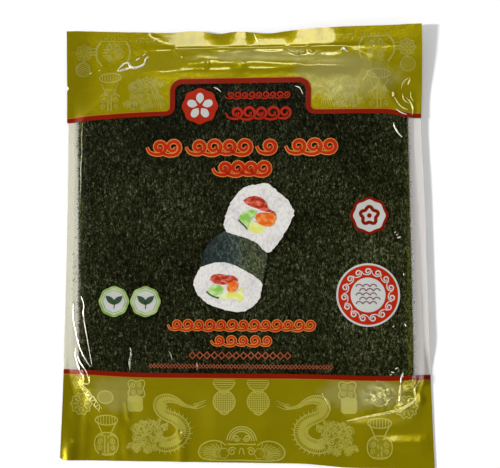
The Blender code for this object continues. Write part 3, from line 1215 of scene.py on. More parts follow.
def dragon_body():
    """The body's two edges and its filled middle, its ribs, spines and flames."""
    body = curve(DRAGON_BODY, 1.1)
    share = np.linspace(0, 1, len(body))
    half = 0.5 + 2.6 * smooth(share, 0.0, 0.32) + 1.1 * smooth(share, 0.45, 0.7)
    right = -sideways(body)
    outer = body - half[:, None] * right
    inner = body + half[:, None] * right
    lines = strokes(outer, inner) + strokes(body[4:-2], width=0.9 * half[4:-2])
    for i in range(3, len(body) - 1):
        lines += hairs(np.linspace(inner[i], outer[i - 1], 3))
        if i % 2 and share[i] > 0.25:
            tip = outer[i] - 2.4 * right[i] - 0.9 * (body[i] - body[i - 1])
            lines += strokes(np.linspace(outer[i], tip, 3), width=SPINE_TAPER)
    for bend, end in DRAGON_FLAMES:
        y = -103.6 + 0.4 * bend
        flame = curve([(-34, -103.6), (-31, y), (-28.5, -102.4 + bend), (end, -100.6 + bend)])
        lines += strokes(flame, width=np.linspace(1.0, 0.3, len(flame)))
    return lines + hairs(spiral((-30.6, -102.2), 1.7, 200, -1.2))


def dragon():
    """The body and its mane: each scroll has an arc round it and two small scrolls on its rim."""
    lines = dragon_body()
    draw = np.random.default_rng(3)
    for i, (x, y, radius) in enumerate(DRAGON_SCROLLS):
        lines += strokes(spiral((x, y), radius, 50 * i, 1.3 if i % 2 else -1.3))
        lines += hairs(arc((x, y), radius + 0.8, 50 * i + 40, 50 * i + 190, 6))
        for angle in draw.uniform(0, 2 * np.pi, 2):
            near = (x + 1.25 * radius * np.cos(angle), y + 1.25 * radius * np.sin(angle))
            lines += strokes(spiral(near, 0.45 * radius, 90 * i, 1.1))
    return lines


print("lines in the dragon:", len(dragon()))

# %% [markdown]
# Half of an arch with a wing of rays stands at the middle of the footer, and its mirror image
# completes it.

# %% The clouded arch
ARCH_WING = (
    (-9.8, 9.6), (-14, 12.0), (-20, 12.2), (-25.6, 9.2), (-27.4, 4.8), (-24.6, 1.2), (-17, 0.2),
    (-8, 0.2), (0, 0.4),
)


def clouded_arch(x, y):
    """Half of an arch of three arcs with a scroll, and a wing of rays beside it."""
    root = np.array([x - 11.5, y + 4.6])
    rays = [np.array([1.25, 0.62]) * heading(angle) for angle in np.linspace(98, 232, 11)]
    return strokes(
        *[arc((x, y + 12), radius, 90, 176, 12) for radius in (9.4, 7.9, 6.4)],
        spiral((x - 3.2, y + 14.2), 2.3, 0, -1.5),
        spiral((x - 6.0, y + 5.8), 2.8, 30, 1.5),
        curve([(x - 9.0, y + 10.4), (x - 5, y + 10.2), (x, y + 10.6)]),
        curve([(x - 1.6, y + 4), (x - 1.0, y + 7), (x, y + 8)]),
        curve(np.add(ARCH_WING, (x, y))),
    ) + hairs(
        *[np.linspace(root + 4.0 * ray, root + 10.6 * ray, 4) for ray in rays]
    ) + hairs(lobed(tuple(root), 3.2, 6, 0.1, 24), closed=True)


print("lines in half an arch:", len(clouded_arch(0, 0)))

# %% [markdown]
# The bracketed block is drawn where it stands, because it is used only there and as its mirror
# image. A hook is drawn once in a unit square, and the row repeats it at equal steps.

# %% The bracketed block and the row of hooks
def bracket_block():
    """Two brackets round a row of drops, with bars, a rosette and a ribbed disc outside them."""
    left = curve([(-95.6, 132.4), (-98.2, 128.0), (-98.0, 121.6), (-94.6, 116.6)])
    right = curve([(-78.6, 132.0), (-76.4, 128.0), (-76.4, 122.6), (-78.4, 118.2)])
    lines = strokes(left, width=1.5) + strokes(right, width=1.3)
    for y in (128.3, 126.2, 124.1):
        lines += strokes([(-103.4, y), (-101, y), (-98.8, y)], width=0.7)
        lines += hairs([(-94.4, y - 0.6), (-92.4, y - 0.6), (-90.6, y - 0.6)])
    for y in (129.0, 121.4):
        drop = curve([(-89.7, y + 2.6), (-91.0, y), (-89.7, y - 2.0), (-88.4, y), (-89.7, y + 2.6)])
        lines += strokes(drop, width=0.7)
    lines += strokes(spiral((-84.6, 128.6), 2.4, 180, 1.4), width=0.7)
    lines += strokes(spiral((-83.6, 123.2), 2.0, 90, -1.4), width=0.6)
    lines += strokes(np.linspace((-96.0, 133.0), (-78.0, 132.6), 8), width=0.6)
    teeth = [np.linspace((x, 133.4), (x, 134.8), 3) for x in np.arange(-95, -77, 2.2)]
    lines += strokes(*teeth, width=0.5)
    return lines + rosette((-106.6, 125.4), 5.0) + ribbed_disc((-107.2, 114.6), 4.6)


def fret(start, end, y, height=3.0, unit=6.0):
    """A row of square hooks, each a line that turns in on itself."""
    hook = np.array([(0, 0), (0, 1), (0.8, 1), (0.8, 0.3), (0.4, 0.3), (0.4, 0.65), (0.6, 0.65)])
    return hairs(*[hook * (unit, height) + (x, y) for x in np.arange(start, end - unit, unit)])


print("hooks in a row:", len(fret(-70, -20, 131)))

# %% [markdown]
# The header shows only parts of the dragons and lanterns, because the same pattern runs on along
# the roll of film and the bands cut it. The footer shows them whole. Misty grounds under the
# scrolls and small motifs fill in the print between its lines.

# %% Moving, mirroring and cutting the ornaments
PRINT_LIFT = 0.2
MIST_SPREAD = 1.55


def mirrored(lines):
    """The same lines on both sides of the pouch's printed axis."""
    other = [
        (np.asarray(path) * (-1, 1) + (2 * AXIS, 0), width, closed) for path, width, closed in lines
    ]
    return list(lines) + other


def moved(lines, dx, dy):
    """Lines shifted along the pouch."""
    return [(np.asarray(path) + (dx, dy), width, closed) for path, width, closed in lines]


def ink_lines(lines):
    """Lines of ink that lie on the film."""
    return [line(path, width, PRINT_LIFT, closed) for path, width, closed in lines]


def mists(places):
    """Scalloped grounds on both sides of the printed axis, a little larger than what they carry."""
    both = [*places, *[(2 * AXIS - x, y, radius) for x, y, radius in places]]
    return [
        fill(lobed((x, y), MIST_SPREAD * radius, 5, 0.14, 30, 40 * x), PRINT_LIFT - 0.04, 6)
        for x, y, radius in both
    ]


def above_header_line(lines):
    """The lines that keep clear of the header's red line and its tab."""
    kept = []
    for path, width, closed in lines:
        x, y = np.asarray(path).T
        beside_tab = (x < TAB_LEFT - 1.6) | (y > TAB_TOP + 1.6)
        if y.min() > HEADER_LINE_Y + 2.2 and beside_tab.all():
            kept.append((path, width, closed))
    return kept


def below_height(lines, height):
    """The lines that lie wholly below a height along the pouch."""
    return [item for item in lines if np.asarray(item[0])[:, 1].max() < height]


print("lines of two rosettes:", len(mirrored(rosette((0, 0), 5.0))))

# %% [markdown]
# Most of the header's ornaments are the footer's again, further up the roll. Lines that the bands
# would cut are left out whole, which is simpler than cutting each of them.

# %% The ornaments in their places
ROLL_STEP = (-4.0, 219.5)
LANTERN_AT = (-88.6, -127.3)
BLOSSOM_AT = (-68.6, -92.0)
LARGE_ROSETTE_AT = (-105.2, -102.0)
SMALL_ROSETTE_AT = (-107.0, -88.6)
MEDALLION_X = -12.6
MEDALLION_RADIUS = 6.9

header_dragon = below_height(above_header_line(moved(dragon(), *ROLL_STEP)), 108)
header_lantern = above_header_line(lantern((-88.8, 92.2), 16.5))
header_lines = mirrored(bracket_block() + header_lantern + header_dragon + fret(-72, -44, 131.2))

cut_medallion = [item for item in medallion((MEDALLION_X, -86.2), MEDALLION_RADIUS) if not item[2]]
cut_medallion = below_height(cut_medallion, footer_line(MEDALLION_X) - 1.6)
cut_rim = strokes(arc((MEDALLION_X, -86.2), MEDALLION_RADIUS, 188, 352, 16))
footer_lines = mirrored(
    dragon() + lantern(LANTERN_AT) + medallion((MEDALLION_X, -99.6), MEDALLION_RADIUS)
    + blossom(BLOSSOM_AT, 5.6) + rosette(LARGE_ROSETTE_AT, 6.6, 10) + rosette(SMALL_ROSETTE_AT, 3.6, 6)
    + ribbed_disc((-88.9, -97.6), 5.0, 0.8, 60)
    + clouded_arch(AXIS, -136.8) + cut_medallion + cut_rim
)
pale_squares = [
    fill(lobed((x, -101.6), 5.6, 4, 0.12, 32, 45), PRINT_LIFT - 0.03, 6) for x in (-69.6, 66.0)
]

header_mists = [
    (x + ROLL_STEP[0], y + ROLL_STEP[1], radius)
    for x, y, radius in DRAGON_SCROLLS if y > -129 and x < -53
]
header_mists += [(-86.8, 125.4, 4.6), (-88.8, 96.6, 3.4), (-106.6, 125.4, 2.6)]
footer_mists = [
    *DRAGON_SCROLLS, (*LANTERN_AT, 4.4), (*BLOSSOM_AT, 3.2), (*LARGE_ROSETTE_AT, 3.8),
    (-19.0, -131.4, 3.4), (-25.0, -131.8, 2.6), (*SMALL_ROSETTE_AT, 2.0),
]
add_piece("header_mists", mists(header_mists), MISTY_GOLD)
add_piece("footer_mists", mists(footer_mists), MISTY_GOLD)
add_piece("header_ornaments", ink_lines(header_lines), FAINT_GOLD)
add_piece("footer_ornaments", ink_lines(footer_lines) + pale_squares, PALE_GOLD)

# %% [markdown]
# The window carries print as well: rows of scrolls, each in red ink over a slightly wider orange
# one, which leaves a thin bright outline. Each ink is a material of its own, because its two tones
# and the size of its patches differ.

# %% Inks of the window
BRIGHT_RED = plain_ink("bright red ink", (0.36, 0.012, 0.002), (0.44, 0.03, 0.005))
CREST_RED = plain_ink("crest red ink", (0.30, 0.014, 0.003), (0.38, 0.02, 0.006))
BRIGHT_ORANGE = plain_ink("bright orange ink", (0.50, 0.17, 0.03), (0.55, 0.25, 0.06), 0.6)
DULL_ORANGE = plain_ink("dull orange ink", (0.22, 0.055, 0.025), (0.32, 0.10, 0.045), 0.6)
WHITE = plain_ink("white ink", (0.44, 0.44, 0.41), (0.53, 0.53, 0.50), 0.8)
GREY = plain_ink("grey ink", (0.13, 0.05, 0.06), (0.18, 0.09, 0.10))
DARK_GREEN = plain_ink("dark green ink", (0.03, 0.06, 0.03), (0.05, 0.09, 0.04))
GREEN = plain_ink("green ink", (0.17, 0.28, 0.06), (0.30, 0.42, 0.14), 1.0, 0.12)
LEAF = plain_ink("pale green ink", (0.20, 0.42, 0.06), (0.55, 0.68, 0.36), 1.0, 0.2)
YELLOW = plain_ink("yellow ink", (0.60, 0.62, 0.10), (0.66, 0.68, 0.40), 1.0, 0.2)
SALMON = plain_ink("salmon ink", (0.30, 0.02, 0.006), (0.66, 0.16, 0.10), 1.0, 0.3)
CARROT = plain_ink("carrot ink", (0.62, 0.10, 0.006), (0.70, 0.30, 0.08), 1.0, 0.25)
RIND = plain_ink("rind ink", (0.03, 0.07, 0.012), (0.08, 0.16, 0.03), 1.0, 0.3)

# %% [markdown]
# A scroll is a short tail that runs into a spiral, thickest in its middle like a brush stroke. Rows
# of them come from two ends and a count, so that each row keeps its own length.

# %% Rows of scrolls
OVER_PRINT = PRINT_LIFT + 0.08
# Each run of the title's long row: its two ends and its count of scrolls.
TITLE_RUNS = ((-65.0, -41.5, 2), (-39.5, 4.5, 4), (7.0, 21.5, 1), (24.5, 59.0, 3))


def scroll(x, y, height):
    """A wave that rises from the left and rolls in on itself, as a tapered path and its widths."""
    tail = np.multiply([(-0.78, 0.02), (-0.6, -0.3), (-0.26, -0.43)], height) + (x, y)
    rolled = spiral((x, y), 0.43 * height, -88, 1.3, 0.3)
    path = np.concatenate([curve(tail, 0.12 * height), rolled])
    return path, np.sin(np.pi * between(0.12, 0.8, np.linspace(0, 1, len(path))))


def scroll_row(left, right, y, height, count):
    """Scrolls of equal spacing between two ends, every other one a little smaller."""
    places = np.linspace(left + 0.8 * height, right - 0.43 * height, count)
    if count == 1:
        places = [right - 0.5 * height]
    return [scroll(x, y, height * (1.0 if i % 2 else 0.88)) for i, x in enumerate(places)]


def outlined(rows, stroke, rim):
    """Red scrolls over wider orange ones."""
    over = [line(path, stroke * taper, OVER_PRINT) for path, taper in rows]
    under = [line(path, stroke * taper + rim, PRINT_LIFT) for path, taper in rows]
    return over, under


title = scroll_row(-22.0, 16.5, 48.4, 11.0, 4)
for left_end, right_end, number in TITLE_RUNS:
    title += scroll_row(left_end, right_end, 62.3, 12.0, number)
lower = scroll_row(-49.8, 45.3, -51.4, 8.2, 13) + scroll_row(-22.0, 17.6, -61.3, 7.6, 5)
title_red, title_orange = outlined(title, 2.2, 1.2)
lower_red, lower_orange = outlined(lower, 1.2, 1.0)
add_piece("scroll_outlines", title_orange + lower_orange, BRIGHT_ORANGE)
add_piece("scrolls", title_red + lower_red, BRIGHT_RED)

# %% [markdown]
# Two rows of small diamonds are the window's finest print, close to the footer. The tab has two
# rows of scrolls, and a scalloped crest with a white blossom of five petals.

# %% Small bands and the crest in the tab
CREST = (-29.4, 88.8)
PETAL = ((1.6, 0), (4.2, -2.3), (7.4, -2.0), (8.6, 0), (7.4, 2.0), (4.2, 2.3), (1.6, 0))


def lozenges(left, right, y, half_width, half_height, count):
    """A row of small open diamonds of equal spacing between two ends."""
    diamond = np.array([(-half_width, 0), (0, -half_height), (half_width, 0), (0, half_height)])
    places = np.linspace(left + half_width, right - half_width, count)
    shapes = [diamond + (x, y) for x in places]
    return strokes(*shapes, width=0.34 * half_height + 0.25, closed=True)


def petal(turn):
    """The petal's outline, with its own length laid along the given angle from the crest."""
    return curve(CREST + np.stack(turned(*np.transpose(PETAL), np.radians(turn)), -1), 0.8)[:-1]


small_rows = lozenges(-34.8, 29.6, -70.7, 2.0, 2.2, 14) + lozenges(-60.5, 56.0, -77.6, 1.05, 1.3, 52)
tab_rows = [(scroll_row(-14.0, 30.0, 84.2, 10.5, 5), 1.8), (scroll_row(-14.0, 29.0, 95.6, 5.6, 9), 0.9)]
tab_scrolls = [line(path, width * taper, PRINT_LIFT) for row, width in tab_rows for path, taper in row]
crest_ground = fill(lobed(CREST, 11.4, 8, 0.04, 64), PRINT_LIFT, 12)
petals = [fill(petal(90 + 72 * i), OVER_PRINT, 6) for i in range(5)]
add_piece("lozenge_rows", ink_lines(small_rows), DULL_ORANGE)
add_piece("tab_scrolls", [*tab_scrolls, crest_ground], CREST_RED)
add_piece("crest_blossom", petals, WHITE)

# %% [markdown]
# The pictured food is two pieces of a filled rice roll. Each colour of it is one field: white rice,
# the dark wrap between the two faces, and a few bright fillings. Rice is a pattern of soft cells,
# because single grains would be too fine for a print of this size.

# %% The pictured rice and its wrap
UPPER_RICE = (
    (-11.6, 7.4), (-0.7, 4.0), (7.3, 0.8), (14.2, -5.7), (19.8, -1.8), (24.3, 4.5),
    (29.4, 14.1), (31.4, 19.8), (28.2, 26.6), (22.0, 32.3), (16.3, 37.2), (12.3, 38.4),
    (1.4, 36.8), (-5.4, 31.7), (-10.5, 22.9), (-13.3, 14.3), (-13.0, 10.3),
)
LOWER_RICE = (
    (-29.6, -32.9), (-23.3, -38.0), (-13.5, -41.6), (-2.4, -43.3), (5.2, -39.9), (9.8, -34.5),
    (11.1, -25.5), (4.0, -19.3), (-5.1, -14.2), (-16.0, -11.6), (-27.4, -14.7), (-31.4, -21.0),
    (-32.5, -26.7),
)
ROLL_WRAP = (
    (-28.6, -15.3), (-16.0, -12.5), (-5.1, -16.2), (4.0, -21.3), (10.8, -25.4), (13.6, -13.6),
    (14.4, -6.3), (7.3, 1.5), (-0.7, 5.0), (-10.4, 8.6), (-20.7, 2.9), (-25.8, -4.5),
)


def rice(graph):
    """Pale cells as long as grains, greyer where the distance to a grain's middle is large."""
    grain = graph.add(
        "ShaderNodeTexVoronoi", {"feature": "SMOOTH_F1"},
        {"Vector": graph.place((1, 0.7, 1), 0.5), "Scale": 0.75, "Smoothness": 0.4},
    )
    soft = graph.noise(graph.place(), 0.12, 2, 0.5)
    shade = graph.step(grain, 0.35, 0.9) * 0.55 + graph.step(soft, 0.4, 0.7) * 0.3
    shade = graph.maths("MINIMUM", shade, 1.0)
    return {
        "Base Color": graph.mix(shade, (0.66, 0.64, 0.60), (0.44, 0.42, 0.43)),
        "Normal": film_relief(graph, 0.1),
    }


def wrap(graph):
    """Pale streaks on near black, brighter and more olive towards the right."""
    streak = graph.noise(graph.place((1, 0.55, 1), 0.5), 0.6, 3, 0.7, 1.0)
    across = graph.axis(0)
    lit = graph.step(across, -30, -6, 0.25, 1.0)
    tone = graph.mix(graph.step(across, -12, 6), (0.075, 0.115, 0.105), (0.12, 0.14, 0.06))
    speck = graph.step(streak, 0.42, 0.68, 0.12, 1.0) * lit
    return {
        "Base Color": graph.mix(speck, (0.004, 0.006, 0.005), tone),
        "Normal": film_relief(graph, 0.1),
    }


def roughened(points, amount, seed):
    """A smooth closed outline, pushed in and out by small random hills as it goes round."""
    outline = curve([*points, points[0]], 0.7)[:-1]
    middle = outline.mean(axis=0)
    steps = np.arange(len(outline), dtype=float)
    push = 1 + amount * clouds(steps, 0 * steps, 3.0, seed, 2)[:, None]
    return middle + (outline - middle) * push


RICE = new_material("rice ink", rice, {**GLOSS, "Roughness": 0.4})
WRAP = new_material("wrap ink", wrap, GLOSS)
wrap_field = fill(curve([*ROLL_WRAP, ROLL_WRAP[0]], 0.8)[:-1], PRINT_LIFT, 24)
rice_fields = [
    fill(roughened(shape, 0.03, seed), PRINT_LIFT + 0.04, 28)
    for shape, seed in ((UPPER_RICE, 71), (LOWER_RICE, 72))
]
add_piece("roll_wrap", [wrap_field], WRAP)
add_piece("roll_rice", rice_fields, RICE)

# %% [markdown]
# Each filling is a field on both faces, the upper one first. A table holds their outlines with
# their inks, and one loop lays them, each a little higher than the one before.

# %% The pictured fillings
FILLINGS = (
    ("yellow", YELLOW, "pale_print", (
        ((1.9, 10.0), (4.3, 7.9), (7.2, 6.6), (11.2, 7.0), (13.1, 10.1), (9.3, 12.5), (4.2, 13.7)),
        ((-16.0, -33.2), (-13.3, -35.2), (-8.2, -34.9), (-2.1, -36.4), (-0.4, -32.2), (-1.9, -28.0),
         (-5.3, -30.9), (-12.5, -30.7)),
    )),
    ("green", LEAF, "green_print", (
        ((-3.9, 15.1), (-0.9, 11.9), (2.1, 10.2), (4.2, 15.1), (7.2, 18.6), (6.7, 21.7), (1.6, 21.3),
         (-2.6, 18.9)),
        ((-23.9, -30.5), (-20.1, -33.0), (-16.5, -34.3), (-14.2, -31.4), (-13.3, -28.0),
         (-17.6, -26.1), (-21.8, -27.3)),
    )),
    ("red", SALMON, "red_print", (
        ((-0.9, 27.6), (0.6, 25.4), (4.4, 23.6), (8.2, 22.2), (12.2, 20.8), (16.6, 19.8), (19.6, 17.6),
         (19.2, 20.2), (15.6, 22.0), (14.2, 25.6), (11.6, 28.6), (8.0, 30.2), (2.6, 30.0)),
        ((-22.3, -22.9), (-18.5, -25.3), (-12.5, -26.1), (-8.3, -24.8), (-4.4, -23.6), (-6.6, -20.6),
         (-12.6, -19.7), (-17.7, -19.1), (-21.0, -20.6)),
    )),
    ("orange", CARROT, "orange_print", (
        ((6.4, 16.8), (8.6, 13.0), (13.2, 11.0), (17.2, 11.0), (19.4, 14.4), (19.6, 18.0), (14.4, 19.6),
         (9.0, 19.6)),
        ((-11.0, -26.5), (-11.1, -28.8), (-9.1, -30.9), (-5.7, -30.5), (-3.9, -27.1), (-4.9, -23.8),
         (-8.7, -24.2)),
    )),
)
RINDS = (((-4.0, 15.3), (-2.1, 13.2), (0.0, 11.3), (1.5, 9.1)),
         ((-24.2, -30.4), (-21.8, -32.4), (-19.1, -33.7), (-16.3, -34.6)))
for order, (name, material, slot_name, shapes) in enumerate(FILLINGS):
    lift = PRINT_LIFT + 0.1 + 0.03 * order
    fields = [fill(roughened(shape, 0.05, 80 + i), lift, 10) for i, shape in enumerate(shapes)]
    add_piece(f"filling_{name}", fields, material)
rinds = [line(curve(points, 0.6), 1.0, PRINT_LIFT + 0.2) for points in RINDS]
add_piece("filling_rinds", rinds, RIND)

# %% [markdown]
# Four badges are printed on the window: a pale rosette with a red edge, a round red seal with a pale
# middle, and two green-edged leaf badges. Each is a pile of lobed fields and rings, each a little
# higher than the last.

# %% The rosette and the seal
ROSETTE = (78.9, 17.6)
SEAL = (78.0, -32.4)
LEAVES = ((-83.9, -36.8), (-63.5, -36.8))
SEAL_TOP = PRINT_LIFT + 0.16

badge_white = [
    fill(lobed(ROSETTE, 10.2, 8, 0.035, 64), PRINT_LIFT + 0.04, 12),
    fill(lobed(SEAL, 19.9, count=96), PRINT_LIFT, 16),
    fill(lobed(SEAL, 10.9, count=64), SEAL_TOP, 12),
]
badge_white += [fill(lobed(centre, 9.4, 8, 0.03, 64), PRINT_LIFT, 10) for centre in LEAVES]
rosette_red = [
    line(lobed(ROSETTE, 10.7, 8, 0.035, 64), 1.7, OVER_PRINT, True),
    line(lobed(ROSETTE, 5.0, 5, 0.16, 40, 90), 2.2, OVER_PRINT, True),
    fill(lobed(ROSETTE, 1.5, count=16), OVER_PRINT, 4),
]
seal_path, seal_taper = scroll(0.0, 14.9, 5.0)
seal_waves = []
for angle in np.radians(np.arange(0, 360, 24)):
    wave_path = SEAL + np.stack(turned(*seal_path.T, angle), -1)
    seal_waves.append(line(wave_path, 0.85 * seal_taper, SEAL_TOP))
middle_waves = []
for row in range(5):
    for side in (-1, 0, 1):
        place = (SEAL[0] + 4.4 * side + 2.2 * (row % 2) - 1.1, SEAL[1] - 6.2 + 2.7 * row)
        middle_waves.append(line(arc(place, 2.1, 15, 165, 8), 0.7, PRINT_LIFT + 0.24))
add_piece("badge_white", badge_white, WHITE)
add_piece("badge_red", [fill(lobed(SEAL, 18.7, count=96), OVER_PRINT, 16)], BRIGHT_RED)
add_piece("badge_dark_red", rosette_red, RED)
add_piece("badge_waves", seal_waves, WHITE)
add_piece("badge_grey_waves", middle_waves, GREY)

# %% [markdown]
# The two small badges have a double green ring each, and two leaves on a stem. A leaf is one closed
# outline, turned about its own middle.

# %% The leaf badges
def leaf_outline(centre, length, width, turn):
    """A pointed leaf: two edges that bow by half its width, between a stem end and a tip."""
    along = np.linspace(-1, 1, 13)
    bow = width / 2 * (1 - along**2)
    lower = np.stack([along * length, -bow], -1)
    upper = np.stack([along * length, bow], -1)[::-1]
    shape = np.concatenate([lower[:-1], upper[:-1]])
    return centre + np.stack(turned(*shape.T, turn), -1)


leaf_rings = []
leaf_green = []
for centre in LEAVES:
    for radius, width in ((8.9, 1.5), (7.1, 0.5)):
        leaf_rings.append(line(lobed(centre, radius, 8, 0.03, 64), width, OVER_PRINT, True))
    for turn in (0.7, 2.4):
        place = np.add(centre, 3.0 * np.array([np.cos(turn), np.sin(turn) - 0.4]))
        leaf_green.append(fill(leaf_outline(place, 4.3, 3.8, turn), OVER_PRINT, 6))
    stem = curve([np.add(centre, (0, -4.6)), np.add(centre, (0.3, -2)), centre])
    leaf_green.append(line(stem, 0.6, OVER_PRINT))
add_piece("badge_green", leaf_rings, GREEN)
add_piece("badge_leaves", leaf_green, DARK_GREEN)

# %% [markdown]
# Roasted seaweed is a felt of thin, torn fronds: nearly black, with olive and brown flecks. Its
# fibres are too many to model, so they are noise, stretched in two directions and sharpened by
# a power, which leaves a few bright flecks on a dark ground. A low shine keeps the black deep.

# %% The seaweed's surface
FLECK_POWER = 25.0
FLECK_SHARE = 0.0175
MOST_FLECK = 0.27
FRINGE_SHARE = 0.85


def nori(graph):
    """Flecks: a small share times 2 to the power of how far the noise stands above its middle.

    They are brighter towards the right and darker towards the header. The frayed edges at both
    sides, where single sheets let some light through, are green.
    """
    upright = graph.noise(graph.place((1, 0.6, 1), 0.15), 0.88, 2, 0.55, 1.2)
    slanting = graph.noise(graph.place((1, 0.5, 1), 1.1), 0.78, 2, 0.55, 1.2)
    lumps = graph.noise(graph.place(), 0.3, 2, 0.5)
    broad = graph.noise(graph.place(), 0.02, 2, 0.5)
    tint = graph.noise(graph.place((1, 0.8, 1)), 0.35, 3, 0.6)
    across = graph.axis(0)
    light = upright * 0.45 + slanting * 0.42 + lumps * 0.13 + (broad - 0.5) * 0.15
    middle = graph.step(across, 30, 104, -0.5, -0.475) + graph.step(graph.axis(1), 15, 85, 0.0, -0.022)
    power = graph.maths("POWER", 2.0, FLECK_POWER * (light + middle))
    pale = graph.maths("MINIMUM", FLECK_SHARE * power, MOST_FLECK)
    fibre = graph.mix(graph.step(light, 0.47, 0.6), (0.58, 0.69, 0.10), (0.60, 0.66, 0.33))
    colour = graph.mix(graph.step(tint, 0.52, 0.70) * 0.6, fibre, (0.68, 0.56, 0.20))
    ragged = across + 5.0 * (lumps - 0.5)
    at_right = graph.step(ragged, 101.6, 103.6)
    fringe = graph.maths("MAXIMUM", at_right, graph.step(ragged, -106.6, -107.8))
    green = graph.mix(graph.step(upright, 0.35, 0.65), (0.01, 0.012, 0.002), (0.10, 0.105, 0.012))
    dark = graph.mix(pale, (0.0, 0.0, 0.0), colour)
    return {
        "Base Color": graph.mix(fringe * FRINGE_SHARE, dark, green),
        "Roughness": 0.5 + 0.3 * lumps,
        "Normal": graph.bump(light, 0.5),
    }


def crumb(graph):
    """A mix of near black and dark olive by a fine noise."""
    grain = graph.noise(graph.place(), 1.0, 2, 0.5)
    return {"Base Color": graph.mix(grain, (0.004, 0.004, 0.001), (0.05, 0.05, 0.015))}


NORI = new_material("roasted seaweed", nori, {"Specular IOR Level": 0.02})
CRUMB = new_material("seaweed crumb", crumb, {"Roughness": 0.7, "Specular IOR Level": 0.1})

# %% [markdown]
# A sheet is a shell whose grid is bent by soft waves, and whose edge lines are pushed in and out by
# several layers of hills. Each sheet has slipped and turned a little on the one below it, so the
# stack's edge shows many thin edges. Only the outer two sheets need a fine grid.

# %% The stack of sheets
SHEETS = 10
SHEET_LENGTH = 190.0
SHEET_THICKNESS = 0.22
LOWEST_SHEET = 0.45
EDGE_BAND = 3.0
LEFT_OVERHANG = 1.1
MOST_SLIP = 3.6


def sheet_plan(index, gap):
    """X and y of a sheet's grid, slipped and turned by the sheet's own random amounts.

    It is a rectangle whose edges are moved in and out by layers of hills read along each edge.
    """
    draw = np.random.default_rng(40 + index)
    slip = (draw.uniform(-0.5, 0.5), between(-MOST_SLIP, MOST_SLIP, (index * 7 % SHEETS) / (SHEETS - 1)))
    turn = STACK_TURN + np.radians(draw.uniform(-0.25, 0.25))
    half_width = STACK_WIDTH / 2
    half_length = SHEET_LENGTH / 2
    inner_width = half_width - EDGE_BAND
    inner_length = half_length - EDGE_BAND
    across = spaced((-half_width, -inner_width, inner_width, half_width), (gap / 2, gap, gap / 2))
    along = spaced((-half_length, -inner_length, inner_length, half_length), (gap, gap, gap))
    u, v = np.meshgrid(across, along)
    side_pull = 0.65 * clouds(v, u * 0, 5.0, 200 + index, 4) + LEFT_OVERHANG * smooth(-u, 90, 100)
    end_pull = 0.6 * clouds(u, v * 0, 5.0, 300 + index, 4)
    bent_u = u + smooth(np.abs(u), half_width - 2 * EDGE_BAND, half_width) * side_pull * np.sign(u)
    bent_v = v + smooth(np.abs(v), half_length - 2 * EDGE_BAND, half_length) * end_pull
    x, y = turned(bent_u, bent_v, turn)
    return STACK_CENTRE[0] + slip[0] + x, STACK_CENTRE[1] + slip[1] + y


def nori_sheet(index, gap):
    """One sheet of the stack, counted from the table.

    Its height is its share of the room under the film, plus soft waves that shrink with the room.
    """
    x, y = sheet_plan(index, gap)
    room = np.minimum(film_height(x, y), STACK_HEIGHT) - 2 * LOWEST_SHEET
    wave = 0.13 * clouds(x, y, 22, 500 + index, 2) + 0.03 * cloud(x, y, 2.5, 600 + index)
    wave = wave * room / (STACK_HEIGHT - 2 * LOWEST_SHEET)
    middle = LOWEST_SHEET + index * room / (SHEETS - 1) + wave
    return shell(*[np.stack([x, y, middle + side * SHEET_THICKNESS / 2], -1) for side in (1, -1)])


for index in range(SHEETS):
    gap = 1.1 if index in (0, SHEETS - 1) else 2.6
    add_piece(f"nori_sheet_{index + 1:02d}", [nori_sheet(index, gap)], NORI)

# %% [markdown]
# Brittle sheets shed crumbs, which slide about in the margins. Each is a flat eight-cornered block whose
# corners are moved at random. Some are listed, and the dust is scattered by a seeded draw, thickest close to
# the stack.

# %% Crumbs beside the stack
# Each large crumb: its place and its half width.
CRUMB_PLACES = (
    (-109.3, 10.2, 0.45), (-108.8, 1.5, 0.35), (-109.2, -12.1, 0.3), (-112.5, -28.6, 0.25),
    (-108.2, -35.2, 0.55), (-108.7, -42.2, 0.35), (-108.4, -47.9, 0.3), (-108.2, -57.3, 0.6),
    (-108.6, 17.3, 0.4), (-108.5, 38.1, 0.5), (-107.8, -2.6, 0.3), (105.6, 35.2, 0.45),
    (106.6, 26.3, 0.4), (107.2, -5.0, 0.35), (106.6, -11.2, 0.5), (107.1, -29.7, 0.55),
    (107.3, -31.3, 0.4), (107.9, -77.4, 0.6), (107.5, -67.9, 0.35), (105.9, 0.8, 0.3),
    (106.8, -56.8, 0.35),
)
DUST = 620
LEFT_SHARE = 0.72
CRUMB_HEIGHT = 0.25
BETWEEN_FILMS = 0.45


def dust(draw):
    """Places and sizes of the dust: random ones along both sides, fewer with the distance."""
    side = draw.choice((-1.0, 1.0), DUST, p=(LEFT_SHARE, 1 - LEFT_SHARE))
    v = draw.uniform(-92, 74, DUST)
    away = draw.exponential(0.9, DUST) * (0.8 + 1.4 * hump(v, -34, 26) * (side < 0))
    u = side * (STACK_WIDTH / 2 + 0.3 + 1.3 * (side < 0) + np.minimum(away, 5))
    x, y = turned(u, v, STACK_TURN)
    size = 0.22 + 0.55 * draw.uniform(0, 1, DUST) ** 3
    return np.stack([STACK_CENTRE[0] + x, STACK_CENTRE[1] + y, size], -1)


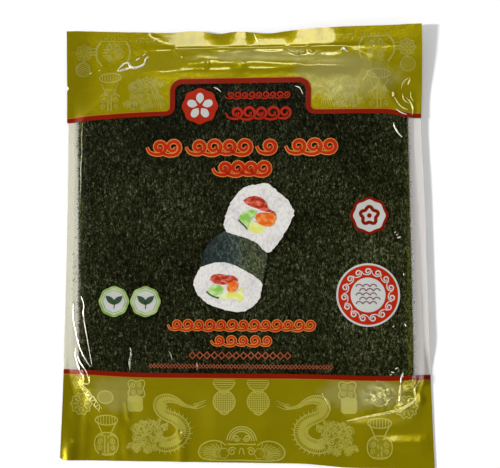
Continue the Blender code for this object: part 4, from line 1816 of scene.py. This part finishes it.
def crumbs():
    """Flakes at the places above, and dust close to both edges of the stack.

    Every flake is the same block of four corners above four, times its own size, turned by its own
    angle, with each corner's distance drawn at random.
    """
    draw = np.random.default_rng(7)
    x, y, size = np.concatenate([CRUMB_PLACES, dust(draw)]).T
    angle = draw.uniform(0, 2 * np.pi, len(x))[:, None] + np.radians([45, 135, 225, 315])
    reach = size[:, None] * draw.uniform(0.7, 1.4, (len(x), 4))
    corner_x = x[:, None] + reach * np.cos(angle)
    corner_y = y[:, None] + 1.5 * reach * np.sin(angle)
    film = film_height(corner_x, corner_y)
    low = between(back_height(corner_x, corner_y), film, BETWEEN_FILMS)
    bottom = np.stack([corner_x, corner_y, low], -1)
    corners = np.concatenate([bottom + (0, 0, CRUMB_HEIGHT), bottom], axis=1)
    block = np.array([(0, 1, 2, 3), (7, 6, 5, 4), (0, 4, 5, 1), (1, 5, 6, 2), (2, 6, 7, 3), (3, 7, 4, 0)])
    faces = block[None] + 8 * np.arange(len(x))[:, None, None]
    return corners.reshape(-1, 3), faces.reshape(-1, 4)


add_piece("nori_crumbs", [crumbs()], CRUMB)

# %% [markdown]
# Sharp creases scatter light all along their length, so they stay bright from any side. Each is a thin
# rounded ridge that tapers at both ends and lies on the film. Folding has crazed the plastic there, so its
# material is the film again, with a pale base that hides more. That pale base is partly crazed plastic and
# partly a painted highlight.

# %% Crazed plastic, its painted highlights and its ridges
CREASE_SECTION = ((1, -0.15), (0.75, 0.6), (0.3, 1.0), (-0.3, 1.0), (-0.75, 0.6), (-1, -0.15))


def milky_film(graph):
    """Alpha in soft patches, and a shine that is duller where they are milkier."""
    cloudy = graph.noise(graph.place(), 0.25, 2, 0.5)
    return {"Alpha": graph.step(cloudy, 0.3, 0.6, 0.4, 0.8), "Roughness": 0.16 + 0.2 * cloudy}


def faded_film(graph):
    """A low alpha in smaller patches."""
    cloudy = graph.noise(graph.place(), 0.5, 2, 0.6)
    return {"Alpha": graph.step(cloudy, 0.3, 0.65, 0.12, 0.42)}


# Pale bases, partly crazed plastic and partly painted highlights: white over the window, pale yellow over
# the gold, and faint over clear film.
CRAZED_FILM_HIGHLIGHT = new_material(
    "painted highlight on crazed clear film", milky_film,
    {"Base Color": (0.84, 0.83, 0.66, 1), "Metallic": 0.35, "Coat Weight": 1.0, "Coat Roughness": 0.1},
)
CRAZED_GOLD_HIGHLIGHT = new_material(
    "painted highlight on crazed gold print", milky_film,
    {"Base Color": (0.86, 0.79, 0.28, 1), "Metallic": 0.35, "Coat Weight": 0.3, "Coat Roughness": 0.1},
)
FAINT = new_material(
    "faint painted highlight on crazed clear film", faded_film,
    {"Base Color": (0.58, 0.58, 0.46, 1), "Metallic": 0.2, "Roughness": 0.35},
)


def crease(points, width, lift=0.1, rise=0.7):
    """A ridge along a smooth line: half an ellipse across, and a sine along its length."""
    path = curve(points, 0.7)
    left = sideways(path)
    half = width / 2 * (0.25 + 0.75 * np.sin(np.pi * np.linspace(0.06, 0.94, len(path))))
    half = half * (1 + 0.2 * cloud(path[:, 0], path[:, 1], 4.0, 17))
    rings = []
    for across, up in CREASE_SECTION:
        spot = path - across * half[:, None] * left
        rings.append(on_film(spot[:, 0], spot[:, 1], lift + up * rise * half))
    return tube(np.stack(rings, 1))


print("faces of a short crease:", len(crease([(0, 0), (3, 1), (6, 0)], 1.0)[1]))

# %% [markdown]
# The longest creases run beside the stack on the left, across the left of the header, and round
# both lower corners, where the film is stretched from the stack to the footer. Each has its width
# and a few points.

# %% Where the film is creased
CREASES = (
    (0.8, ((-105.7, -33.3), (-103.5, -39.0), (-103.8, -44.7), (-102.0, -55.3), (-97.7, -77.2))),
    (0.8, ((-111.3, -38.2), (-111.0, -47.2), (-108.9, -57.0), (-105.8, -66.7), (-100.2, -76.4),
           (-97.9, -78.2))),
    (0.8, ((-109.1, -66.7), (-109.0, -72.4), (-105.6, -81.4), (-102.1, -86.2))),
    (0.8, ((-107.4, -71.6), (-105.6, -75.7), (-101.4, -81.3), (-99.6, -86.8))),
    (1.9, ((-84.1, 113.7), (-80.3, 117.6), (-77.4, 118.4), (-75.2, 115.6), (-71.9, 114.9),
           (-67.7, 116.3), (-66.0, 118.4), (-65.6, 120.5), (-63.8, 122.2))),
    (1.7, ((-84.6, 113.4), (-81.9, 113.5), (-77.3, 114.5), (-74.6, 115.2))),
    (1.2, ((-72.3, 119.8), (-69.4, 121.6))),
    (1.0, ((-67.8, 122.6), (-65.9, 124.3))),
    (1.3, ((61.0, 124.0), (62.6, 125.8), (63.6, 124.4), (65.7, 122.9))),
    (0.9, ((95.7, 85.6), (98.0, 83.9), (100.6, 82.6), (102.8, 82.0))),
    (1.0, ((94.4, 77.0), (94.8, 74.4), (97.0, 70.4), (99.6, 67.4))),
    (0.7, ((-20.6, 100.9), (-18.2, 100.0), (-15.8, 97.8))),
    (0.7, ((31.8, 101.0), (34.8, 99.8), (36.9, 95.7))),
    (1.3, ((99.6, -80.8), (98.4, -84.3), (98.0, -87.3))),
)
GOLD_CREASES = (
    (0.8, ((-96.9, 113.7), (-95.7, 114.1))),
    (0.7, ((-102.9, 111.6), (-101.5, 112.6))),
    (1.4, ((93.6, 96.6), (94.2, 95.2), (93.8, 93.6))),
    (0.9, ((94.9, 93.2), (96.6, 90.2), (98.6, 87.6), (101.0, 85.9), (103.5, 85.2))),
    (0.7, ((99.9, 95.4), (100.6, 92.4), (101.8, 90.6), (104.2, 89.4))),
    (0.8, ((102.4, 93.0), (104.6, 90.6), (106.2, 87.6), (106.4, 84.6), (106.0, 81.9))),
    (0.6, ((105.2, 96.9), (105.3, 93.5), (106.9, 90.6))),
    (1.1, ((103.4, 101.2), (104.2, 103.4), (105.0, 105.0))),
    (0.5, ((99.4, 98.7), (100.2, 102.4), (102.7, 104.9), (105.0, 106.0))),
    (1.2, ((-108.5, -84.4), (-104.5, -88.2), (-99.6, -89.1), (-99.2, -84.3))),
    (0.8, ((-107.9, -87.5), (-100.6, -98.3), (-92.6, -107.4))),
    (0.8, ((-102.3, -90.6), (-96.7, -97.5), (-91.4, -105.1))),
    (0.7, ((-107.0, -88.6), (-102.4, -91.4), (-104.6, -92.4), (-100.2, -93.6), (-102.2, -96.2),
           (-97.6, -96.8), (-99.4, -100.0), (-95.2, -99.8), (-96.4, -103.6), (-93.0, -103.0),
           (-93.6, -106.4))),
    (1.7, ((109.7, -85.4), (106.7, -91.0), (107.0, -97.0), (103.6, -100.1), (98.3, -103.1),
           (88.6, -105.9), (80.3, -107.4), (70.5, -109.6), (64.4, -111.2))),
    (0.6, ((4.7, 136.8), (6.4, 133.0), (8.5, 128.8))),
    (1.4, ((98.0, -88.0), (97.6, -92.4), (97.2, -98.6))),
    (0.7, ((102.9, -96.7), (106.6, -96.7))),
    (0.6, ((49.2, -93.8), (51.5, -98.3), (54.6, -104.3))),
)
# Faint pale streaks over the window, which are painted highlights.
FAINT_CREASES = (
    (1.2, ((-72.9, -66.0), (-72.3, -70.0), (-73.2, -75.2), (-72.9, -80.6))),
    (0.9, ((-47.9, -68.2), (-46.6, -71.0), (-45.9, -73.8))),
    (1.0, ((-30.0, -75.0), (-29.4, -79.5))),
)
# A faint pale line along the stack's upper left edge, a painted highlight.
EDGE_LINE = (
    (-106.6, 79.5), (-107.1, 70.0), (-106.8, 60.0), (-107.4, 50.0), (-107.2, 40.0), (-107.7, 30.0),
)
# Each glint: its place and its size.
GLINTS = (
    (97.5, 3.7, 0.9), (95.1, 6.9, 0.6), (93.7, -52.1, 0.6), (101.2, -51.3, 0.7), (100.2, -19.5, 0.6),
    (93.2, -80.6, 0.8), (95.6, -78.2, 0.9), (92.0, -82.2, 0.6), (99.1, -83.0, 0.7), (96.2, 5.4, 0.5),
    (80.2, -94.4, 0.8), (84.6, -92.2, 0.7), (88.2, -94.8, 0.8), (86.0, -98.4, 0.7), (91.2, -97.4, 0.7),
    (82.4, -97.8, 0.6), (79.4, -99.4, 0.6), (90.0, -91.0, 0.6),
)

print("long creases:", len(CREASES) + len(GOLD_CREASES) + len(FAINT_CREASES))

# %% [markdown]
# Between the long creases many short ones glint, most of them where the film is crumpled. Some are listed,
# and a seeded draw scatters the rest round the middle of the crumpled patch.

# %% The creases as pieces
def glint(x, y, size):
    """A very short crease, leaning with its own place, whose pale material is a painted glint."""
    lean = cloud(np.array(x), np.array(y), 3.0, 23) * 1.5
    step = 1.3 * size * np.array([np.cos(lean), np.sin(lean)])
    return crease([np.subtract((x, y), step), (x, y + 0.2 * size), np.add((x, y), step)], size)


# These ridges and glints are pale pieces, partly crazed film and partly painted highlights.
clear_creases_and_highlights = [crease(points, width) for width, points in CREASES]
clear_creases_and_highlights += [glint(*place) for place in GLINTS if place[1] > -84]
gold_creases_and_highlights = [crease(points, width, 0.15) for width, points in GOLD_CREASES]
gold_creases_and_highlights += [glint(*place) for place in GLINTS if place[1] <= -84]
scatter = np.random.default_rng(29).normal(0, 1, (26, 3)).clip(-1.6, 1.6)
for across, along, more in scatter:
    gold_creases_and_highlights.append(glint(86 + 4.2 * across, -95.5 + 2.4 * along, 0.5 + 0.15 * more))
faint_creases_and_highlights = [crease(points, width, 0.1, 0.3) for width, points in FAINT_CREASES]
faint_creases_and_highlights.append(crease(EDGE_LINE, 0.5))
add_piece("film_creases_and_highlights", clear_creases_and_highlights, CRAZED_FILM_HIGHLIGHT)
add_piece("gold_creases_and_highlights", gold_creases_and_highlights, CRAZED_GOLD_HIGHLIGHT)
add_piece("faint_creases_and_highlights", faint_creases_and_highlights, FAINT)

# %% [markdown]
# The picture was taken from nearly straight above a white table. A long lens far away keeps the
# pouch's sides almost parallel. The camera's turn is built from three directions, its back, its
# right and its up, which are easier to read than three angles.

# %% Camera
TARGET = Vector((2.95, 6.55, 2.0)) * MM
BACK = Vector((0.109, -0.084, 1.0)).normalized()
DISTANCE = 842 * MM
ROLL = np.radians(0.3)
LENS = 95.0

camera_data = bpy.data.cameras.new("camera")
camera_data.lens = LENS
camera_data.sensor_width = 36.0
camera = bpy.data.objects.new("camera", camera_data)
bpy.context.scene.collection.objects.link(camera)
level_right = Vector((0, 1, 0)).cross(BACK).normalized()
level_up = BACK.cross(level_right)
right = np.cos(ROLL) * level_right + np.sin(ROLL) * level_up
up = np.cos(ROLL) * level_up - np.sin(ROLL) * level_right
rotation = Matrix((right, up, BACK)).transposed().to_4x4()
camera.matrix_world = Matrix.Translation(TARGET + DISTANCE * BACK) @ rotation
bpy.context.scene.camera = camera
print("camera at", [round(v, 4) for v in camera.location])

# %% [markdown]
# The table is one large white square, barely mottled, just under the pouch.

# %% Table
TABLE_REACH = 6.0
TABLE_HEIGHT = -0.1 * MM


def table_white(graph):
    """Two nearly equal whites, mixed by a broad noise."""
    grain = graph.noise(graph.place(), 0.02, 2, 0.5)
    return {"Base Color": graph.mix(grain, (0.94, 0.94, 0.94), (0.95, 0.95, 0.95))}


corners = [(x * TABLE_REACH, y * TABLE_REACH, TABLE_HEIGHT) for x, y in ((-1, -1), (1, -1), (1, 1), (-1, 1))]
floor_mesh = bpy.data.meshes.new("table")
floor_mesh.from_pydata(corners, [], [(0, 1, 2, 3)])
floor_mesh.materials.append(new_material("white table", table_white, {"Roughness": 0.7}))
floor = bpy.data.objects.new("table", floor_mesh)
bpy.context.scene.collection.objects.link(floor)

# %% [markdown]
# The sky of this studio is bright at the horizon and dark overhead, because flat film mirrors what
# is above it back to the camera. Its brightness is a power of one minus the height. Three lamps
# stand in it: a low key lamp on the left that throws the long shadow, a soft panel overhead that
# the film mirrors, and a broad pale one on the right.

# %% Sky and lamps
SKY_OVERHEAD = 0.015
SKY_HORIZON = 3.85
SKY_POWER = 2.5

world = bpy.data.worlds.new("studio")
bpy.context.scene.world = world
world.use_nodes = True
sky = Graph(world.node_tree)
direction = sky.add("ShaderNodeTexCoord", output="Generated")
upward = sky.add("ShaderNodeSeparateXYZ", None, {0: direction}, 2)
glow = SKY_OVERHEAD + SKY_HORIZON * sky.maths("MAXIMUM", 1 - upward, 0.0) ** SKY_POWER
background = world.node_tree.nodes["Background"]
background.inputs["Color"].default_value = (1, 1, 1, 1)
world.node_tree.links.new(glow.socket, background.inputs["Strength"])


def lamp(name, tilt_x, tilt_y, height, width, depth, radiance, aim):
    """A flat soft lamp at angles from straight up, turned to aim at the pouch or straight down.

    Its power is its radiance times pi times its area.
    """
    data = bpy.data.lights.new(name, "AREA")
    data.shape = "RECTANGLE"
    data.size = width
    data.size_y = depth
    data.energy = radiance * np.pi * width * depth
    light = bpy.data.objects.new(name, data)
    bpy.context.scene.collection.objects.link(light)
    where = Vector((np.tan(np.radians(tilt_x)), np.tan(np.radians(tilt_y)), 1.0)) * height
    turn = where.to_track_quat("Z", "Y").to_matrix().to_4x4() if aim else Matrix()
    light.matrix_world = Matrix.Translation(where) @ turn


lamp("key", -65, -2, 1.7, 0.4, 0.4, 410, True)
lamp("overhead", -5.0, 22.0, 2.0, 0.56, 0.37, 6.0, False)
lamp("right wall", 60, 5, 1.2, 1.4, 0.8, 2.5, True)

scene = bpy.context.scene
scene.view_settings.view_transform = "Standard"
scene.cycles.transparent_max_bounces = 24
